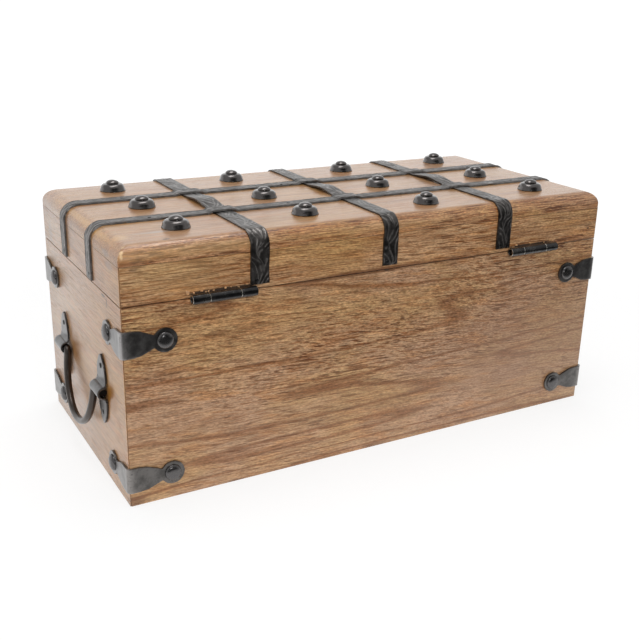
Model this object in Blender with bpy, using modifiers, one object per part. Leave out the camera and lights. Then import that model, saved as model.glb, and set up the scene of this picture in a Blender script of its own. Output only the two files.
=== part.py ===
"""A small wooden treasure chest, strapped with hammered iron.

Lengths are in metres. Seen from the front, +X is right, +Y is back and +Z is up. The origin is the middle
of the base, on the surface that the chest stands on.
"""

from math import cos, pi, radians, sin, sqrt

import bmesh
import bpy
from mathutils import Matrix, Vector

for old in list(bpy.data.objects):
    bpy.data.objects.remove(old, do_unlink=True)

# Overall sizes of the wooden box
chest_length = 0.356
chest_depth = 0.167
body_height = 0.1255
lid_height = 0.0339
seam_gap = 0.0006

# Boards
wall_thickness = 0.011
bottom_thickness = 0.009
lid_top_thickness = 0.011
lid_end_run = 0.0095
lid_side_run = 0.0078
lid_edge_drop = 0.0085
corner_radius = 0.0015
rim_ease = 0.0007
joint_gap = 0.0003
edge_segments = 6

# Studs: a wide dome, a small cap on it and a shank driven into the lid
stud_columns = 4
stud_rows = 3
stud_end_inset = 0.044
stud_side_inset = 0.026
stud_radius = 0.0087
stud_dome_height = 0.0047
stud_rim_height = 0.0007
stud_cap_radius = 0.0037
stud_cap_height = 0.002
stud_cap_step = 0.0004
stud_shifts = (
    ((0.0, -0.0018), (-0.0009, -0.0009), (0.0025, -0.0007), (0.0016, -0.0008)),
    ((0.0038, 0.0001), (0.0031, 0.0004), (0.0053, 0.0018), (-0.0005, -0.0042)),
    ((-0.0023, -0.0019), (0.0025, 0.0023), (0.0022, -0.0032), (-0.0015, -0.0045)),
)
stud_shank_radius = 0.0013
stud_shank_length = 0.0095
stud_hole_clearance = 0.0004

# Straps of flat bar
long_strap_width = 0.0092
cross_strap_widths = (0.0117, 0.0109, 0.0123)
strap_thickness = 0.0009
cross_strap_spread = 0.0026
cross_strap_shift = 0.0009
long_strap_spacing = 0.0558
cross_strap_bow = 0.002
cross_strap_end_rise = 0.0026
long_strap_end_rise = 0.0012
crossing_margin = 0.0008
crossing_ramp = 0.004

# Corner brackets
bracket_thickness = 0.0012
bracket_corner_half = 0.0082
bracket_neck_half = 0.0038
bracket_upper_reach = 0.025
bracket_lower_reach = 0.0268
bracket_disc_radius = 0.0074
bracket_rivet_radius = 0.0052
bracket_rivet_height = 0.0023
bracket_upper_drop = 0.022
bracket_lower_height = 0.0175
bracket_fold_radius = 0.0012

# Handles: a bail of round bar in two arched staples on each end
handle_height = 0.0608
handle_staple_spacing = 0.0836
handle_staple_height = 0.046
handle_staple_width = 0.0165
handle_staple_thickness = 0.0012
handle_nail_inset = 0.0075
handle_nail_radius = 0.0017
handle_nail_height = 0.0007
arch_flare = 0.002
bail_radius = 0.0024
bail_clearance = 0.0004
bail_drop = 0.0365
bail_stand_off = 7
bail_bend = 0.0029
bail_end_inset = 0.0015

# Hinges: leaves let into the seam, the barrel outside the back
hinge_length = 0.041
hinge_from_strap = 0.0247
hinge_barrel_radius = 0.003
hinge_pin_radius = 0.0012
hinge_pin_clearance = 0.0003
hinge_pin_inset = 0.001
hinge_leaf_thickness = 0.001
hinge_leaf_depth = 0.0088
hinge_leaf_setback = 0.0001
hinge_knuckle_length = 0.0105
knuckle_gap = 0.0003
knuckle_tab_inset = 0.0003

# Hasp in the middle of the front
hasp_knuckle_radius = 0.0022
hasp_pin_radius = 0.0008
hasp_pin_clearance = 0.0003
hasp_pin_rise = 0.003
hasp_outer_knuckle = 0.005
hasp_middle_knuckle = 0.008
hasp_thickness = 0.001
hasp_plate_height = 0.0125
hasp_leaf_width = 0.016
hasp_leaf_length = 0.0285
hasp_leaf_lift = 176
hasp_slot_width = 0.0046
hasp_slot_length = 0.0132
hasp_slot_end = 0.004
hasp_nail_height = 0.0004
hasp_staple_wire_radius = 0.0012
hasp_staple_half_height = 0.004
hasp_staple_reach = 0.0095
hasp_staple_plate_width = 0.018
hasp_staple_plate_height = 0.0215
hasp_staple_plate_thickness = 0.001

# How far joined pieces sink into each other, how far cuts overrun, and how near points are one point
weld_depth = 0.0003
cut_overrun = 0.001
merge_distance = 0.000003

# Flat sides of the round pieces
stud_segments = 14
hole_segments = 8
dome_segments = 12
knuckle_segments = 16
hinge_pin_segments = 12
hasp_pin_segments = 10

# Places that follow from the sizes
half_length = chest_length / 2
half_depth = chest_depth / 2
lid_base = body_height + seam_gap
total_height = lid_base + lid_height
lid_joint_height = total_height - lid_top_thickness
edge_foot = total_height - lid_edge_drop
stud_column_pitch = (chest_length - 2 * stud_end_inset) / (stud_columns - 1)
stud_row_pitch = (chest_depth - 2 * stud_side_inset) / (stud_rows - 1)
cross_strap_spacing = stud_column_pitch + cross_strap_spread
outer_strap_reach = cross_strap_spacing * (stud_columns - 2) / 2
hinge_axis_y = half_depth + joint_gap + hinge_barrel_radius
hinge_axis_z = body_height + seam_gap / 2
bail_proud = bail_radius + bail_clearance
hasp_x = cross_strap_shift
hasp_axis_y = -(half_depth + joint_gap + hasp_knuckle_radius)
hasp_axis_z = lid_base + hasp_pin_rise

parts = bpy.data.collections.new("treasure_chest")
helpers = bpy.data.collections.new("treasure_chest_cutters")
bpy.context.scene.collection.children.link(parts)
bpy.context.scene.collection.children.link(helpers)


def new_material(name, colour, roughness, metallic):
    made = bpy.data.materials.new(name)
    made.use_nodes = True
    shader = made.node_tree.nodes["Principled BSDF"]
    shader.inputs["Base Color"].default_value = (*colour, 1.0)
    shader.inputs["Roughness"].default_value = roughness
    shader.inputs["Metallic"].default_value = metallic
    made.diffuse_color = (*colour, 1.0)
    return made


body_wood = new_material("body_wood", (0.36, 0.20, 0.10), 0.55, 0.0)
lid_wood = new_material("lid_wood", (0.40, 0.24, 0.13), 0.55, 0.0)
strap_iron = new_material("strap_iron", (0.060, 0.058, 0.058), 0.45, 0.85)
stud_iron = new_material("stud_iron", (0.035, 0.033, 0.034), 0.25, 0.85)
bracket_iron = new_material("bracket_iron", (0.050, 0.048, 0.047), 0.40, 0.85)
handle_iron = new_material("handle_iron", (0.055, 0.052, 0.050), 0.45, 0.85)
hinge_iron = new_material("hinge_iron", (0.030, 0.030, 0.031), 0.35, 0.90)
hasp_iron = new_material("hasp_iron", (0.055, 0.052, 0.050), 0.42, 0.85)


# Directions

right = Vector((1, 0, 0))
back = Vector((0, 1, 0))
up = Vector((0, 0, 1))


# Ways of making a shape

def empty_at(name, place):
    """A pivot that moving pieces hang from."""
    pivot = bpy.data.objects.new(name, None)
    pivot.location = place
    parts.objects.link(pivot)
    return pivot


def mesh_of(name, shape):
    """The mesh of a shape that was being edited."""
    mesh = bpy.data.meshes.new(name)
    shape.to_mesh(mesh)
    shape.free()
    return mesh


def place_mesh(name, mesh, material, location=(0, 0, 0), turn=0.0, pivot=None):
    """Makes a named piece from a mesh, which other pieces may share."""
    if not mesh.materials:
        mesh.materials.append(material)
    mesh.shade_smooth()
    mesh.set_sharp_from_angle(angle=radians(35))
    piece = bpy.data.objects.new(name, mesh)
    piece.location = location
    piece.rotation_euler = (0, 0, turn)
    parts.objects.link(piece)
    if pivot:
        piece.parent = pivot
        piece.matrix_parent_inverse = Matrix.Translation(-pivot.location)
    return piece


def helper_object(name, data):
    """An object that cuts, joins or guides, and is never a piece itself."""
    helper = bpy.data.objects.new(name, data)
    helper.hide_render = True
    helper.display_type = "WIRE"
    helpers.objects.link(helper)
    return helper


def finished_mesh(helper):
    """The mesh of a helper with its modifiers applied. The helper is removed."""
    bpy.context.view_layer.update()
    evaluated = helper.evaluated_get(bpy.context.evaluated_depsgraph_get())
    mesh = bpy.data.meshes.new_from_object(evaluated)
    bpy.data.objects.remove(helper, do_unlink=True)
    shape = bmesh.new()
    shape.from_mesh(mesh)
    bmesh.ops.remove_doubles(shape, verts=shape.verts, dist=merge_distance)
    shape.to_mesh(mesh)
    shape.free()
    return mesh


def box_shape(low, high):
    """A box between two corners."""
    low = Vector(low)
    high = Vector(high)
    placed = Matrix.LocRotScale((low + high) / 2, None, high - low)
    shape = bmesh.new()
    bmesh.ops.create_cube(shape, size=1.0, matrix=placed)
    return shape


def flat_mesh(name, outline, rise):
    """A flat outline drawn out along a vector: a filled curve, as thick as the vector is long."""
    sideways = (outline[1] - outline[0]).normalized()
    normal = rise.normalized()
    plane = Matrix((sideways, normal.cross(sideways), normal)).transposed().to_4x4()
    plane.translation = outline[0] + rise / 2
    onto_plane = plane.inverted()
    curve = bpy.data.curves.new(name, "CURVE")
    curve.dimensions = "2D"
    curve.fill_mode = "BOTH"
    curve.extrude = rise.length / 2
    spline = curve.splines.new("POLY")
    spline.points.add(len(outline) - 1)
    spline.use_cyclic_u = True
    for control, point in zip(spline.points, outline):
        control.co = (*(onto_plane @ point).xy, 0, 1)
    mesh = finished_mesh(helper_object(name + "_outline", curve))
    shape = bmesh.new()
    shape.from_mesh(mesh)
    bmesh.ops.dissolve_limit(shape, angle_limit=radians(1), verts=shape.verts, edges=shape.edges)
    bmesh.ops.recalc_face_normals(shape, faces=shape.faces)
    shape.to_mesh(mesh)
    shape.free()
    mesh.transform(plane)
    return mesh


def turned_mesh(name, profile, segments, axis=up, place=(0, 0, 0), ring=False):
    """A profile of (radius, height) points, read downwards, turned and then laid along an axis."""
    shape = bmesh.new()
    points = [shape.verts.new((radius, 0, height)) for radius, height in profile]
    for first, second in zip(points, points[1:]):
        shape.edges.new((first, second))
    if ring:
        shape.edges.new((points[-1], points[0]))
    helper = helper_object(name + "_profile", mesh_of(name, shape))
    turning = helper.modifiers.new("turning", "SCREW")
    turning.steps = segments
    turning.render_steps = segments
    turning.use_merge_vertices = True
    turning.merge_threshold = merge_distance
    mesh = finished_mesh(helper)
    mesh.transform(Matrix.Translation(place) @ up.rotation_difference(axis).to_matrix().to_4x4())
    return mesh


def tube_mesh(name, outer, bore, length, place):
    """A tube along X, centred on a place."""
    half = length / 2
    profile = ((bore, half), (outer, half), (outer, -half), (bore, -half))
    return turned_mesh(name, profile, knuckle_segments, right, place, ring=True)


def pin_mesh(name, radius, half, segments):
    """A round pin along X."""
    profile = ((0, half), (radius, half), (radius, -half), (0, -half))
    return turned_mesh(name, profile, segments, right)


def strip_mesh(name, stations, across, thickness):
    """A plate bent along its stations, each a middle point and half the width there."""
    across = Vector(across)
    shape = bmesh.new()
    for side in (-1, 1):
        edge = [shape.verts.new(middle + across * (side * half)) for middle, half in stations]
        for first, second in zip(edge, edge[1:]):
            shape.edges.new((first, second))
    bmesh.ops.bridge_loops(shape, edges=shape.edges)
    bmesh.ops.recalc_face_normals(shape, faces=shape.faces)
    sheet = helper_object(name + "_sheet", mesh_of(name, shape))
    solid = sheet.modifiers.new("thickness", "SOLIDIFY")
    solid.thickness = thickness
    solid.offset = 0.0
    solid.use_even_offset = True
    return finished_mesh(sheet)


def combined_mesh(name, base, others, operation):
    """One closed mesh: a base with other meshes joined to it or cut from it."""
    main = helper_object(name + "_base", base)
    tools = []
    for number, other in enumerate(others):
        tool = helper_object(f"{name}_tool_{number}", other)
        boolean = main.modifiers.new(f"{operation.lower()} {number}", "BOOLEAN")
        boolean.operation = operation
        boolean.object = tool
        tools.append(tool)
    mesh = finished_mesh(main)
    for tool in tools:
        bpy.data.objects.remove(tool, do_unlink=True)
    return mesh


def cut_piece(piece, name, meshes):
    """Cuts meshes out of a piece with one Boolean that stays on it."""
    together = bmesh.new()
    for mesh in meshes:
        together.from_mesh(mesh)
    boolean = piece.modifiers.new(name, "BOOLEAN")
    boolean.operation = "DIFFERENCE"
    boolean.object = helper_object(name, mesh_of(name, together))


def bar_mesh(name, points, radius):
    """Round bar along a row of points, its ends closed."""
    curve = bpy.data.curves.new(name, "CURVE")
    curve.dimensions = "3D"
    curve.bevel_depth = radius
    curve.bevel_resolution = 2
    curve.use_fill_caps = True
    spline = curve.splines.new("POLY")
    spline.points.add(len(points) - 1)
    for control, point in zip(spline.points, points):
        control.co = (*point, 1.0)
    return finished_mesh(helper_object(name + "_bar", curve))


def arc(centre, radius, start, end, steps, first, second):
    """Points on an arc in the plane of two directions, from one angle to another."""
    turned = [start + (end - start) * step / steps for step in range(steps + 1)]
    return [centre + first * (radius * cos(angle)) + second * (radius * sin(angle)) for angle in turned]


# Boards of the body and rails of the lid: four mitred lengths around a rectangle

def mitred_board(name, length, reach, thickness, base, height, turn, material, pivot=None):
    """A board whose outer face lies a reach from the middle, its ends mitred and the outer corner eased."""
    mitre_gap = joint_gap * sqrt(0.5)
    half = length / 2 - mitre_gap
    inner_half = half - thickness
    corner = Vector((half - corner_radius, reach - corner_radius, base))
    eased = arc(corner, corner_radius, pi / 4, pi / 2, 2, right, back)
    mirrored = [Vector((-point.x, point.y, point.z)) for point in reversed(eased)]
    inner = [Vector((-inner_half, reach - thickness, base)), Vector((inner_half, reach - thickness, base))]
    board = bmesh.new()
    board.from_mesh(flat_mesh(name, eased + mirrored + inner, up * height))
    outer_rims = [
        edge
        for edge in board.edges
        if all(vertex.co.y > reach - corner_radius for vertex in edge.verts)
        and abs(edge.verts[0].co.z - edge.verts[1].co.z) < rim_ease
        and abs(edge.verts[0].co.x - edge.verts[1].co.x) > corner_radius
    ]
    bmesh.ops.bevel(board, geom=outer_rims, offset=rim_ease, segments=1, affect="EDGES")
    bmesh.ops.rotate(board, verts=board.verts, cent=(0, 0, 0), matrix=Matrix.Rotation(turn, 3, "Z"))
    return place_mesh(name, mesh_of(name, board), material, pivot=pivot)


def mitred_frame(prefix, base, height, material, pivot=None):
    """Front, back, left and right boards, in that order."""
    made = []
    for side, length, reach, turn in (
        ("front", chest_length, half_depth, pi),
        ("back", chest_length, half_depth, 0.0),
        ("left", chest_depth, half_length, pi / 2),
        ("right", chest_depth, half_length, -pi / 2),
    ):
        name = prefix.format(side)
        made.append(mitred_board(name, length, reach, wall_thickness, base, height, turn, material, pivot))
    return made


lid_pivot = empty_at("lid_pivot", (0, hinge_axis_y, hinge_axis_z))

body_boards = mitred_frame("{}_board", 0.0, body_height, body_wood)
rail_height = lid_joint_height - joint_gap - lid_base
lid_rails = mitred_frame("lid_{}_rail", lid_base, rail_height, lid_wood, lid_pivot)
back_board = body_boards[1]
lid_back_rail = lid_rails[1]

inside_half_length = half_length - wall_thickness - joint_gap
inside_half_depth = half_depth - wall_thickness - joint_gap
bottom_low = (-inside_half_length, -inside_half_depth, 0)
bottom_high = (inside_half_length, inside_half_depth, bottom_thickness)
bottom_mesh = mesh_of("bottom_board", box_shape(bottom_low, bottom_high))
place_mesh("bottom_board", bottom_mesh, body_wood)


def lid_edge(run):
    """A rounding's steps from its foot to the top: how far in, how far up, and the way it faces."""
    steps = []
    for step in range(edge_segments + 1):
        angle = step * pi / 2 / edge_segments
        facing = Vector((cos(angle) * lid_edge_drop, sin(angle) * run)).normalized()
        steps.append((run * (1 - cos(angle)), lid_edge_drop * sin(angle), facing))
    return steps


def lid_top_shape():
    """The lid's top board, its four upper edges rounded over."""
    shape = box_shape((-half_length, -half_depth, lid_joint_height), (half_length, half_depth, edge_foot))
    top = max(shape.faces, key=lambda face: face.calc_center_median().z)
    for (inset_x, rise, _), (inset_y, _, _) in list(zip(lid_edge(lid_end_run), lid_edge(lid_side_run)))[1:]:
        drawn = bmesh.ops.extrude_discrete_faces(shape, faces=[top])
        top = drawn["faces"][0]
        for vertex in top.verts:
            side_x = 1 if vertex.co.x > 0 else -1
            side_y = 1 if vertex.co.y > 0 else -1
            vertex.co = (side_x * (half_length - inset_x), side_y * (half_depth - inset_y), edge_foot + rise)
    return shape


lid_top_mesh = mesh_of("lid_top_board", lid_top_shape())
lid_top_board = place_mesh("lid_top_board", lid_top_mesh, lid_wood, pivot=lid_pivot)


# Studs, in rows over the lid

stud_xs = [(column - (stud_columns - 1) / 2) * stud_column_pitch for column in range(stud_columns)]
stud_ys = [(row - (stud_rows - 1) / 2) * stud_row_pitch for row in range(stud_rows)]


def stud_profile():
    """Down the cap, the dome and the rim, then the shank to its point."""
    cap_base = stud_dome_height + stud_cap_step
    neck_radius = stud_cap_radius - stud_cap_step
    points = []
    for step in range(4):
        angle = step * pi / 6
        points.append((stud_cap_radius * sin(angle), cap_base + stud_cap_height * cos(angle)))
    for step in range(4):
        angle = step * pi / 6
        spread = neck_radius + (stud_radius - neck_radius) * sin(angle)
        rise = stud_rim_height + (stud_dome_height - stud_rim_height) * cos(angle)
        points.append((spread, rise))
    points.append((stud_radius, 0.0))
    points.append((stud_shank_radius, 0.0))
    points.append((stud_shank_radius, stud_shank_radius - stud_shank_length))
    points.append((0.0, -stud_shank_length))
    return points


hole_radius = stud_shank_radius + stud_hole_clearance
hole_depth = stud_shank_length + stud_hole_clearance
hole_profile = ((0, cut_overrun), (hole_radius, cut_overrun), (hole_radius, -hole_depth), (0, -hole_depth))
row_names = ("front", "middle", "back")
shared_stud = turned_mesh("stud", stud_profile(), stud_segments)
stud_holes = []
for row, stud_y in enumerate(stud_ys):
    row_name = row_names[row] if stud_rows == len(row_names) else f"row_{row + 1}"
    for column, stud_x in enumerate(stud_xs):
        shift_x, shift_y = stud_shifts[row][column]
        place = Vector((stud_x + shift_x, stud_y + shift_y, total_height + joint_gap))
        place_mesh(f"stud_{row_name}_{column + 1}", shared_stud, stud_iron, place, pivot=lid_pivot)
        stud_holes.append(turned_mesh("stud_hole", hole_profile, hole_segments, place=place))
cut_piece(lid_top_board, "stud_holes", stud_holes)


# Straps over the lid

strap_off = joint_gap + strap_thickness / 2
cross_strap_xs = [
    (column - (stud_columns - 2) / 2) * cross_strap_spacing + cross_strap_shift
    for column in range(stud_columns - 1)
]
long_strap_ys = [(row - (stud_rows - 2) / 2) * long_strap_spacing for row in range(stud_rows - 1)]
strap_level = total_height + strap_off


def over_the_lid(half_span, run, outward, start_height, end_height, top_points):
    """Up one side of the lid, round its edge, over the top points, and down the other side."""
    rounding = []
    for inset, rise, facing in lid_edge(run):
        rounding.append((half_span - inset + facing.x * strap_off, edge_foot + rise + facing.y * strap_off))
    path = [outward * -(half_span + strap_off) + up * start_height]
    path += [up * height - outward * along for along, height in rounding]
    path += [up * height + outward * along for along, height in top_points]
    path += [up * height + outward * along for along, height in reversed(rounding)]
    path.append(up * end_height + outward * (half_span + strap_off))
    return path


def cross_strap_top():
    """Flat under the lengthwise straps and bowed up off the wood between them."""
    bow_end = (long_strap_spacing - long_strap_width) / 2 - crossing_margin
    points = []
    for step in range(9):
        share = step / 4 - 1
        points.append((bow_end * share, strap_level + cross_strap_bow * (1 + cos(pi * share)) / 2))
    return points


def long_strap_top():
    """Up over each cross strap and down to the wood between them."""
    lift = strap_thickness + joint_gap
    points = []
    for crossing, width in zip(cross_strap_xs, cross_strap_widths):
        crossing_half = width / 2 + crossing_margin
        points.append((crossing - crossing_half - crossing_ramp, strap_level))
        points.append((crossing - crossing_half, strap_level + lift))
        points.append((crossing + crossing_half, strap_level + lift))
        points.append((crossing + crossing_half + crossing_ramp, strap_level))
    return points


def strap_stations(path, sideways, width):
    return [(point + sideways, width / 2) for point in path]


middle_strap = len(cross_strap_xs) // 2
strap_names = ("left", "middle", "right") if len(cross_strap_xs) == 3 else range(1, stud_columns)
for number, strap_x in enumerate(cross_strap_xs):
    back_end = lid_base + cross_strap_end_rise
    front_end = back_end
    if number == middle_strap:
        front_end = hasp_axis_z + hasp_plate_height + joint_gap
    path = over_the_lid(half_depth, lid_side_run, back, front_end, back_end, cross_strap_top())
    stations = strap_stations(path, right * strap_x, cross_strap_widths[number])
    name = f"cross_strap_{strap_names[number]}"
    strap_mesh = strip_mesh(name, stations, right, strap_thickness)
    place_mesh(name, strap_mesh, strap_iron, pivot=lid_pivot)

for number, strap_y in enumerate(long_strap_ys):
    end = lid_base + long_strap_end_rise
    path = over_the_lid(half_length, lid_end_run, right, end, end, long_strap_top())
    stations = strap_stations(path, back * strap_y, long_strap_width)
    name = f"long_strap_{('front', 'back')[number] if len(long_strap_ys) == 2 else number + 1}"
    strap_mesh = strip_mesh(name, stations, back, strap_thickness)
    place_mesh(name, strap_mesh, strap_iron, pivot=lid_pivot)


# Corner brackets: one plate folded round each vertical corner, with a domed rivet in each disc

bracket_leg_shares = ((0.25, 0.97), (0.5, 0.84), (0.75, 0.42), (1.0, 0.0))


def dome_mesh(radius, height, axis, place):
    """A rivet's or nail's domed head, sunk a little into the plate that it joins."""
    profile = [(radius * sin(step * pi / 8), height * cos(step * pi / 8)) for step in range(5)]
    profile += [(radius, -weld_depth), (0.0, -weld_depth)]
    return turned_mesh("dome", profile, dome_segments, axis, place)


def bracket_leg(reach):
    """From the fold outwards: how far along the leg, and half the plate's width there."""
    neck = reach - sqrt(bracket_disc_radius**2 - bracket_neck_half**2)
    start = bracket_fold_radius
    leg = [(start, bracket_corner_half)]
    for along_share, width_share in bracket_leg_shares:
        half = bracket_neck_half + (bracket_corner_half - bracket_neck_half) * width_share
        leg.append((start + (neck - start) * along_share, half))
    for angle in range(130, 0, -15):
        turned = radians(angle)
        if bracket_disc_radius * sin(turned) > bracket_neck_half or angle < 90:
            along = reach + bracket_disc_radius * cos(turned)
            leg.append((along, bracket_disc_radius * sin(turned)))
    return leg


def bracket_mesh(name, reach):
    """The bracket of the back right corner, with its origin on the corner's edge at mid-height."""
    off = joint_gap + bracket_thickness / 2
    leg = bracket_leg(reach)
    back_leg = [(back * off - right * along, half) for along, half in reversed(leg)]
    right_leg = [(right * off - back * along, half) for along, half in leg]
    fold_centre = (right + back) * -bracket_fold_radius
    fold_radius = bracket_fold_radius + off
    fold_points = arc(fold_centre, fold_radius, pi / 2, 0, 4, right, back)
    fold = [(point, bracket_corner_half) for point in fold_points]
    plate = strip_mesh(name + "_plate", back_leg[:-1] + fold + right_leg[1:], up, bracket_thickness)
    face = joint_gap + bracket_thickness
    rivets = [
        dome_mesh(bracket_rivet_radius, bracket_rivet_height, back, back * face - right * reach),
        dome_mesh(bracket_rivet_radius, bracket_rivet_height, right, right * face - back * reach),
    ]
    return combined_mesh(name, plate, rivets, "UNION")


bracket_levels = (
    ("upper", body_height - bracket_upper_drop, bracket_mesh("bracket_upper", bracket_upper_reach)),
    ("lower", bracket_lower_height, bracket_mesh("bracket_lower", bracket_lower_reach)),
)
bracket_corners = (
    ("back_right", right + back, 0.0),
    ("back_left", back - right, pi / 2),
    ("front_left", -right - back, pi),
    ("front_right", right - back, -pi / 2),
)
for corner_name, corner_side, turn in bracket_corners:
    for level_name, level, shared_bracket in bracket_levels:
        place = Vector((corner_side.x * half_length, corner_side.y * half_depth, level))
        place_mesh(f"bracket_{corner_name}_{level_name}", shared_bracket, bracket_iron, place, turn)


# Handles: the bail's turned-out ends lie in the arches of two staples

staple_leaf_shares = (
    (0.0, 1.0), (0.25, 0.97), (0.5, 0.86), (0.7, 0.66), (0.85, 0.42), (0.95, 0.22), (1.0, 0.08),
)
staple_flank_share = 0.25


def handle_staple_mesh():
    """The staple of the right end, its origin on the bail's axis above the wood."""
    arch_radius = bail_proud + handle_staple_thickness / 2
    leaf_off = joint_gap + handle_staple_thickness / 2
    foot = arch_radius + arch_flare
    width = handle_staple_width / 2
    leaf = []
    for along_share, width_share in staple_leaf_shares:
        along = foot + (handle_staple_height / 2 - foot) * along_share
        leaf.append((right * leaf_off + up * along, width * width_share))
    flank_height = arch_radius + arch_flare * staple_flank_share
    flank = (right * ((leaf_off + bail_proud) / 2) + up * flank_height, width)
    arch = [(point, width) for point in arc(right * bail_proud, arch_radius, pi / 2, -pi / 2, 8, right, up)]
    upper = list(reversed(leaf)) + [flank]
    lower = [(Vector((point.x, point.y, -point.z)), half) for point, half in reversed(upper)]
    plate = strip_mesh("handle_staple_plate", upper + arch + lower, back, handle_staple_thickness)
    nail_height = handle_staple_height / 2 - handle_nail_inset
    nail_face = right * (joint_gap + handle_staple_thickness)
    nails = [
        dome_mesh(handle_nail_radius, handle_nail_height, right, nail_face + up * height)
        for height in (nail_height, -nail_height)
    ]
    return combined_mesh("handle_staple", plate, nails, "UNION")


def bail_points():
    """One end of the bar, round the grip and out to the other end, about the bail's axis."""
    down = right * sin(radians(bail_stand_off)) - up * cos(radians(bail_stand_off))
    arm = (handle_staple_spacing - handle_staple_width) / 2 - bail_clearance - bail_radius
    end = (handle_staple_spacing + handle_staple_width) / 2 - bail_end_inset
    half = arc(back * (arm + bail_bend) + down * bail_bend, bail_bend, pi / 2, pi, 4, back, -down)
    grip_depth = bail_drop - bail_bend
    for step in range(1, 10):
        angle = step * pi / 18
        half.append(back * (arm * cos(angle)) + down * (bail_bend + grip_depth * sin(angle)))
    half.insert(0, back * end)
    other_half = [Vector((point.x, -point.y, point.z)) for point in reversed(half[:-1])]
    return half + other_half


shared_staple = handle_staple_mesh()
shared_bail = bar_mesh("bail", bail_points(), bail_radius)
for side_name, outward, turn in (("right", 1, 0.0), ("left", -1, pi)):
    axis_x = outward * (half_length + bail_proud)
    bail_place = Vector((axis_x, 0, handle_height))
    bail_pivot = empty_at(f"{side_name}_handle_pivot", bail_place)
    place_mesh(f"{side_name}_handle_bail", shared_bail, handle_iron, bail_place, turn, bail_pivot)
    for staple_name, staple_side in (("front", -1), ("back", 1)):
        place = (outward * half_length, staple_side * handle_staple_spacing / 2, handle_height)
        place_mesh(f"{side_name}_handle_staple_{staple_name}", shared_staple, handle_iron, place, turn)


# Hinges

hinge_bore = hinge_pin_radius + hinge_pin_clearance
tab_end_y = hinge_axis_y - (hinge_barrel_radius + hinge_bore) / 2
leaf_front_y = half_depth - hinge_leaf_depth
leaf_back_y = half_depth - hinge_leaf_setback
middle_knuckle_length = hinge_length - 2 * (hinge_knuckle_length + knuckle_gap)


def hinge_leaf_mesh(name, knuckles, level, rise):
    """A leaf in the seam, joined by tabs to its knuckles, each given by its middle and its length."""
    half = hinge_length / 2
    low, high = sorted((level, level + rise))
    joined = []
    for middle, length in knuckles:
        tab_half = length / 2 - knuckle_tab_inset
        tab_low = (middle - tab_half, leaf_back_y - weld_depth, low)
        tab_high = (middle + tab_half, tab_end_y, high)
        joined.append(mesh_of("tab", box_shape(tab_low, tab_high)))
        place = (middle, hinge_axis_y, hinge_axis_z)
        joined.append(tube_mesh("knuckle", hinge_barrel_radius, hinge_bore, length, place))
    plate = mesh_of("leaf", box_shape((-half, leaf_front_y, low), (half, leaf_back_y, high)))
    return combined_mesh(name, plate, joined, "UNION")


outer_knuckle_middle = (hinge_length - hinge_knuckle_length) / 2
body_knuckles = ((-outer_knuckle_middle, hinge_knuckle_length), (outer_knuckle_middle, hinge_knuckle_length))
lid_knuckles = ((0.0, middle_knuckle_length),)
shared_body_leaf = hinge_leaf_mesh("hinge_body_leaf", body_knuckles, body_height, -hinge_leaf_thickness)
shared_lid_leaf = hinge_leaf_mesh("hinge_lid_leaf", lid_knuckles, lid_base, hinge_leaf_thickness)


def hinge_pocket(centre_x, low, high):
    """The recess for a leaf in the edge of a board."""
    half = hinge_length / 2 + joint_gap
    low_corner = (centre_x - half, leaf_front_y - joint_gap, low)
    high_corner = (centre_x + half, half_depth + cut_overrun, high)
    return mesh_of("hinge_pocket", box_shape(low_corner, high_corner))


body_pockets = []
lid_pockets = []
pocket_depth = hinge_leaf_thickness + joint_gap
shared_pin = pin_mesh("hinge_pin", hinge_pin_radius, hinge_length / 2 - hinge_pin_inset, hinge_pin_segments)
for side_name, outward in (("left", -1), ("right", 1)):
    hinge_x = outward * (outer_strap_reach + hinge_from_strap)
    place = (hinge_x, 0, 0)
    place_mesh(f"hinge_{side_name}_body_leaf", shared_body_leaf, hinge_iron, place)
    place_mesh(f"hinge_{side_name}_lid_leaf", shared_lid_leaf, hinge_iron, place, pivot=lid_pivot)
    place_mesh(f"hinge_{side_name}_pin", shared_pin, hinge_iron, (hinge_x, hinge_axis_y, hinge_axis_z))
    body_pockets.append(hinge_pocket(hinge_x, body_height - pocket_depth, body_height + cut_overrun / 2))
    lid_pockets.append(hinge_pocket(hinge_x, lid_base - cut_overrun / 2, lid_base + pocket_depth))
cut_piece(back_board, "hinge_pockets", body_pockets)
cut_piece(lid_back_rail, "lid_hinge_pockets", lid_pockets)


# Hasp: a plate on the lid, a slotted leaf hung on its pin, and a staple on the body

hasp_bore = hasp_pin_radius + hasp_pin_clearance
hasp_pivot = empty_at("hasp_pivot", (hasp_x, hasp_axis_y, hasp_axis_z))
hasp_pivot.parent = lid_pivot
hasp_pivot.matrix_parent_inverse = Matrix.Translation(-lid_pivot.location)
hasp_knuckle_middle = (hasp_middle_knuckle + hasp_outer_knuckle) / 2 + knuckle_gap
hasp_plate_half = hasp_knuckle_middle + hasp_outer_knuckle / 2
wood_face_y = -half_depth - joint_gap


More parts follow.
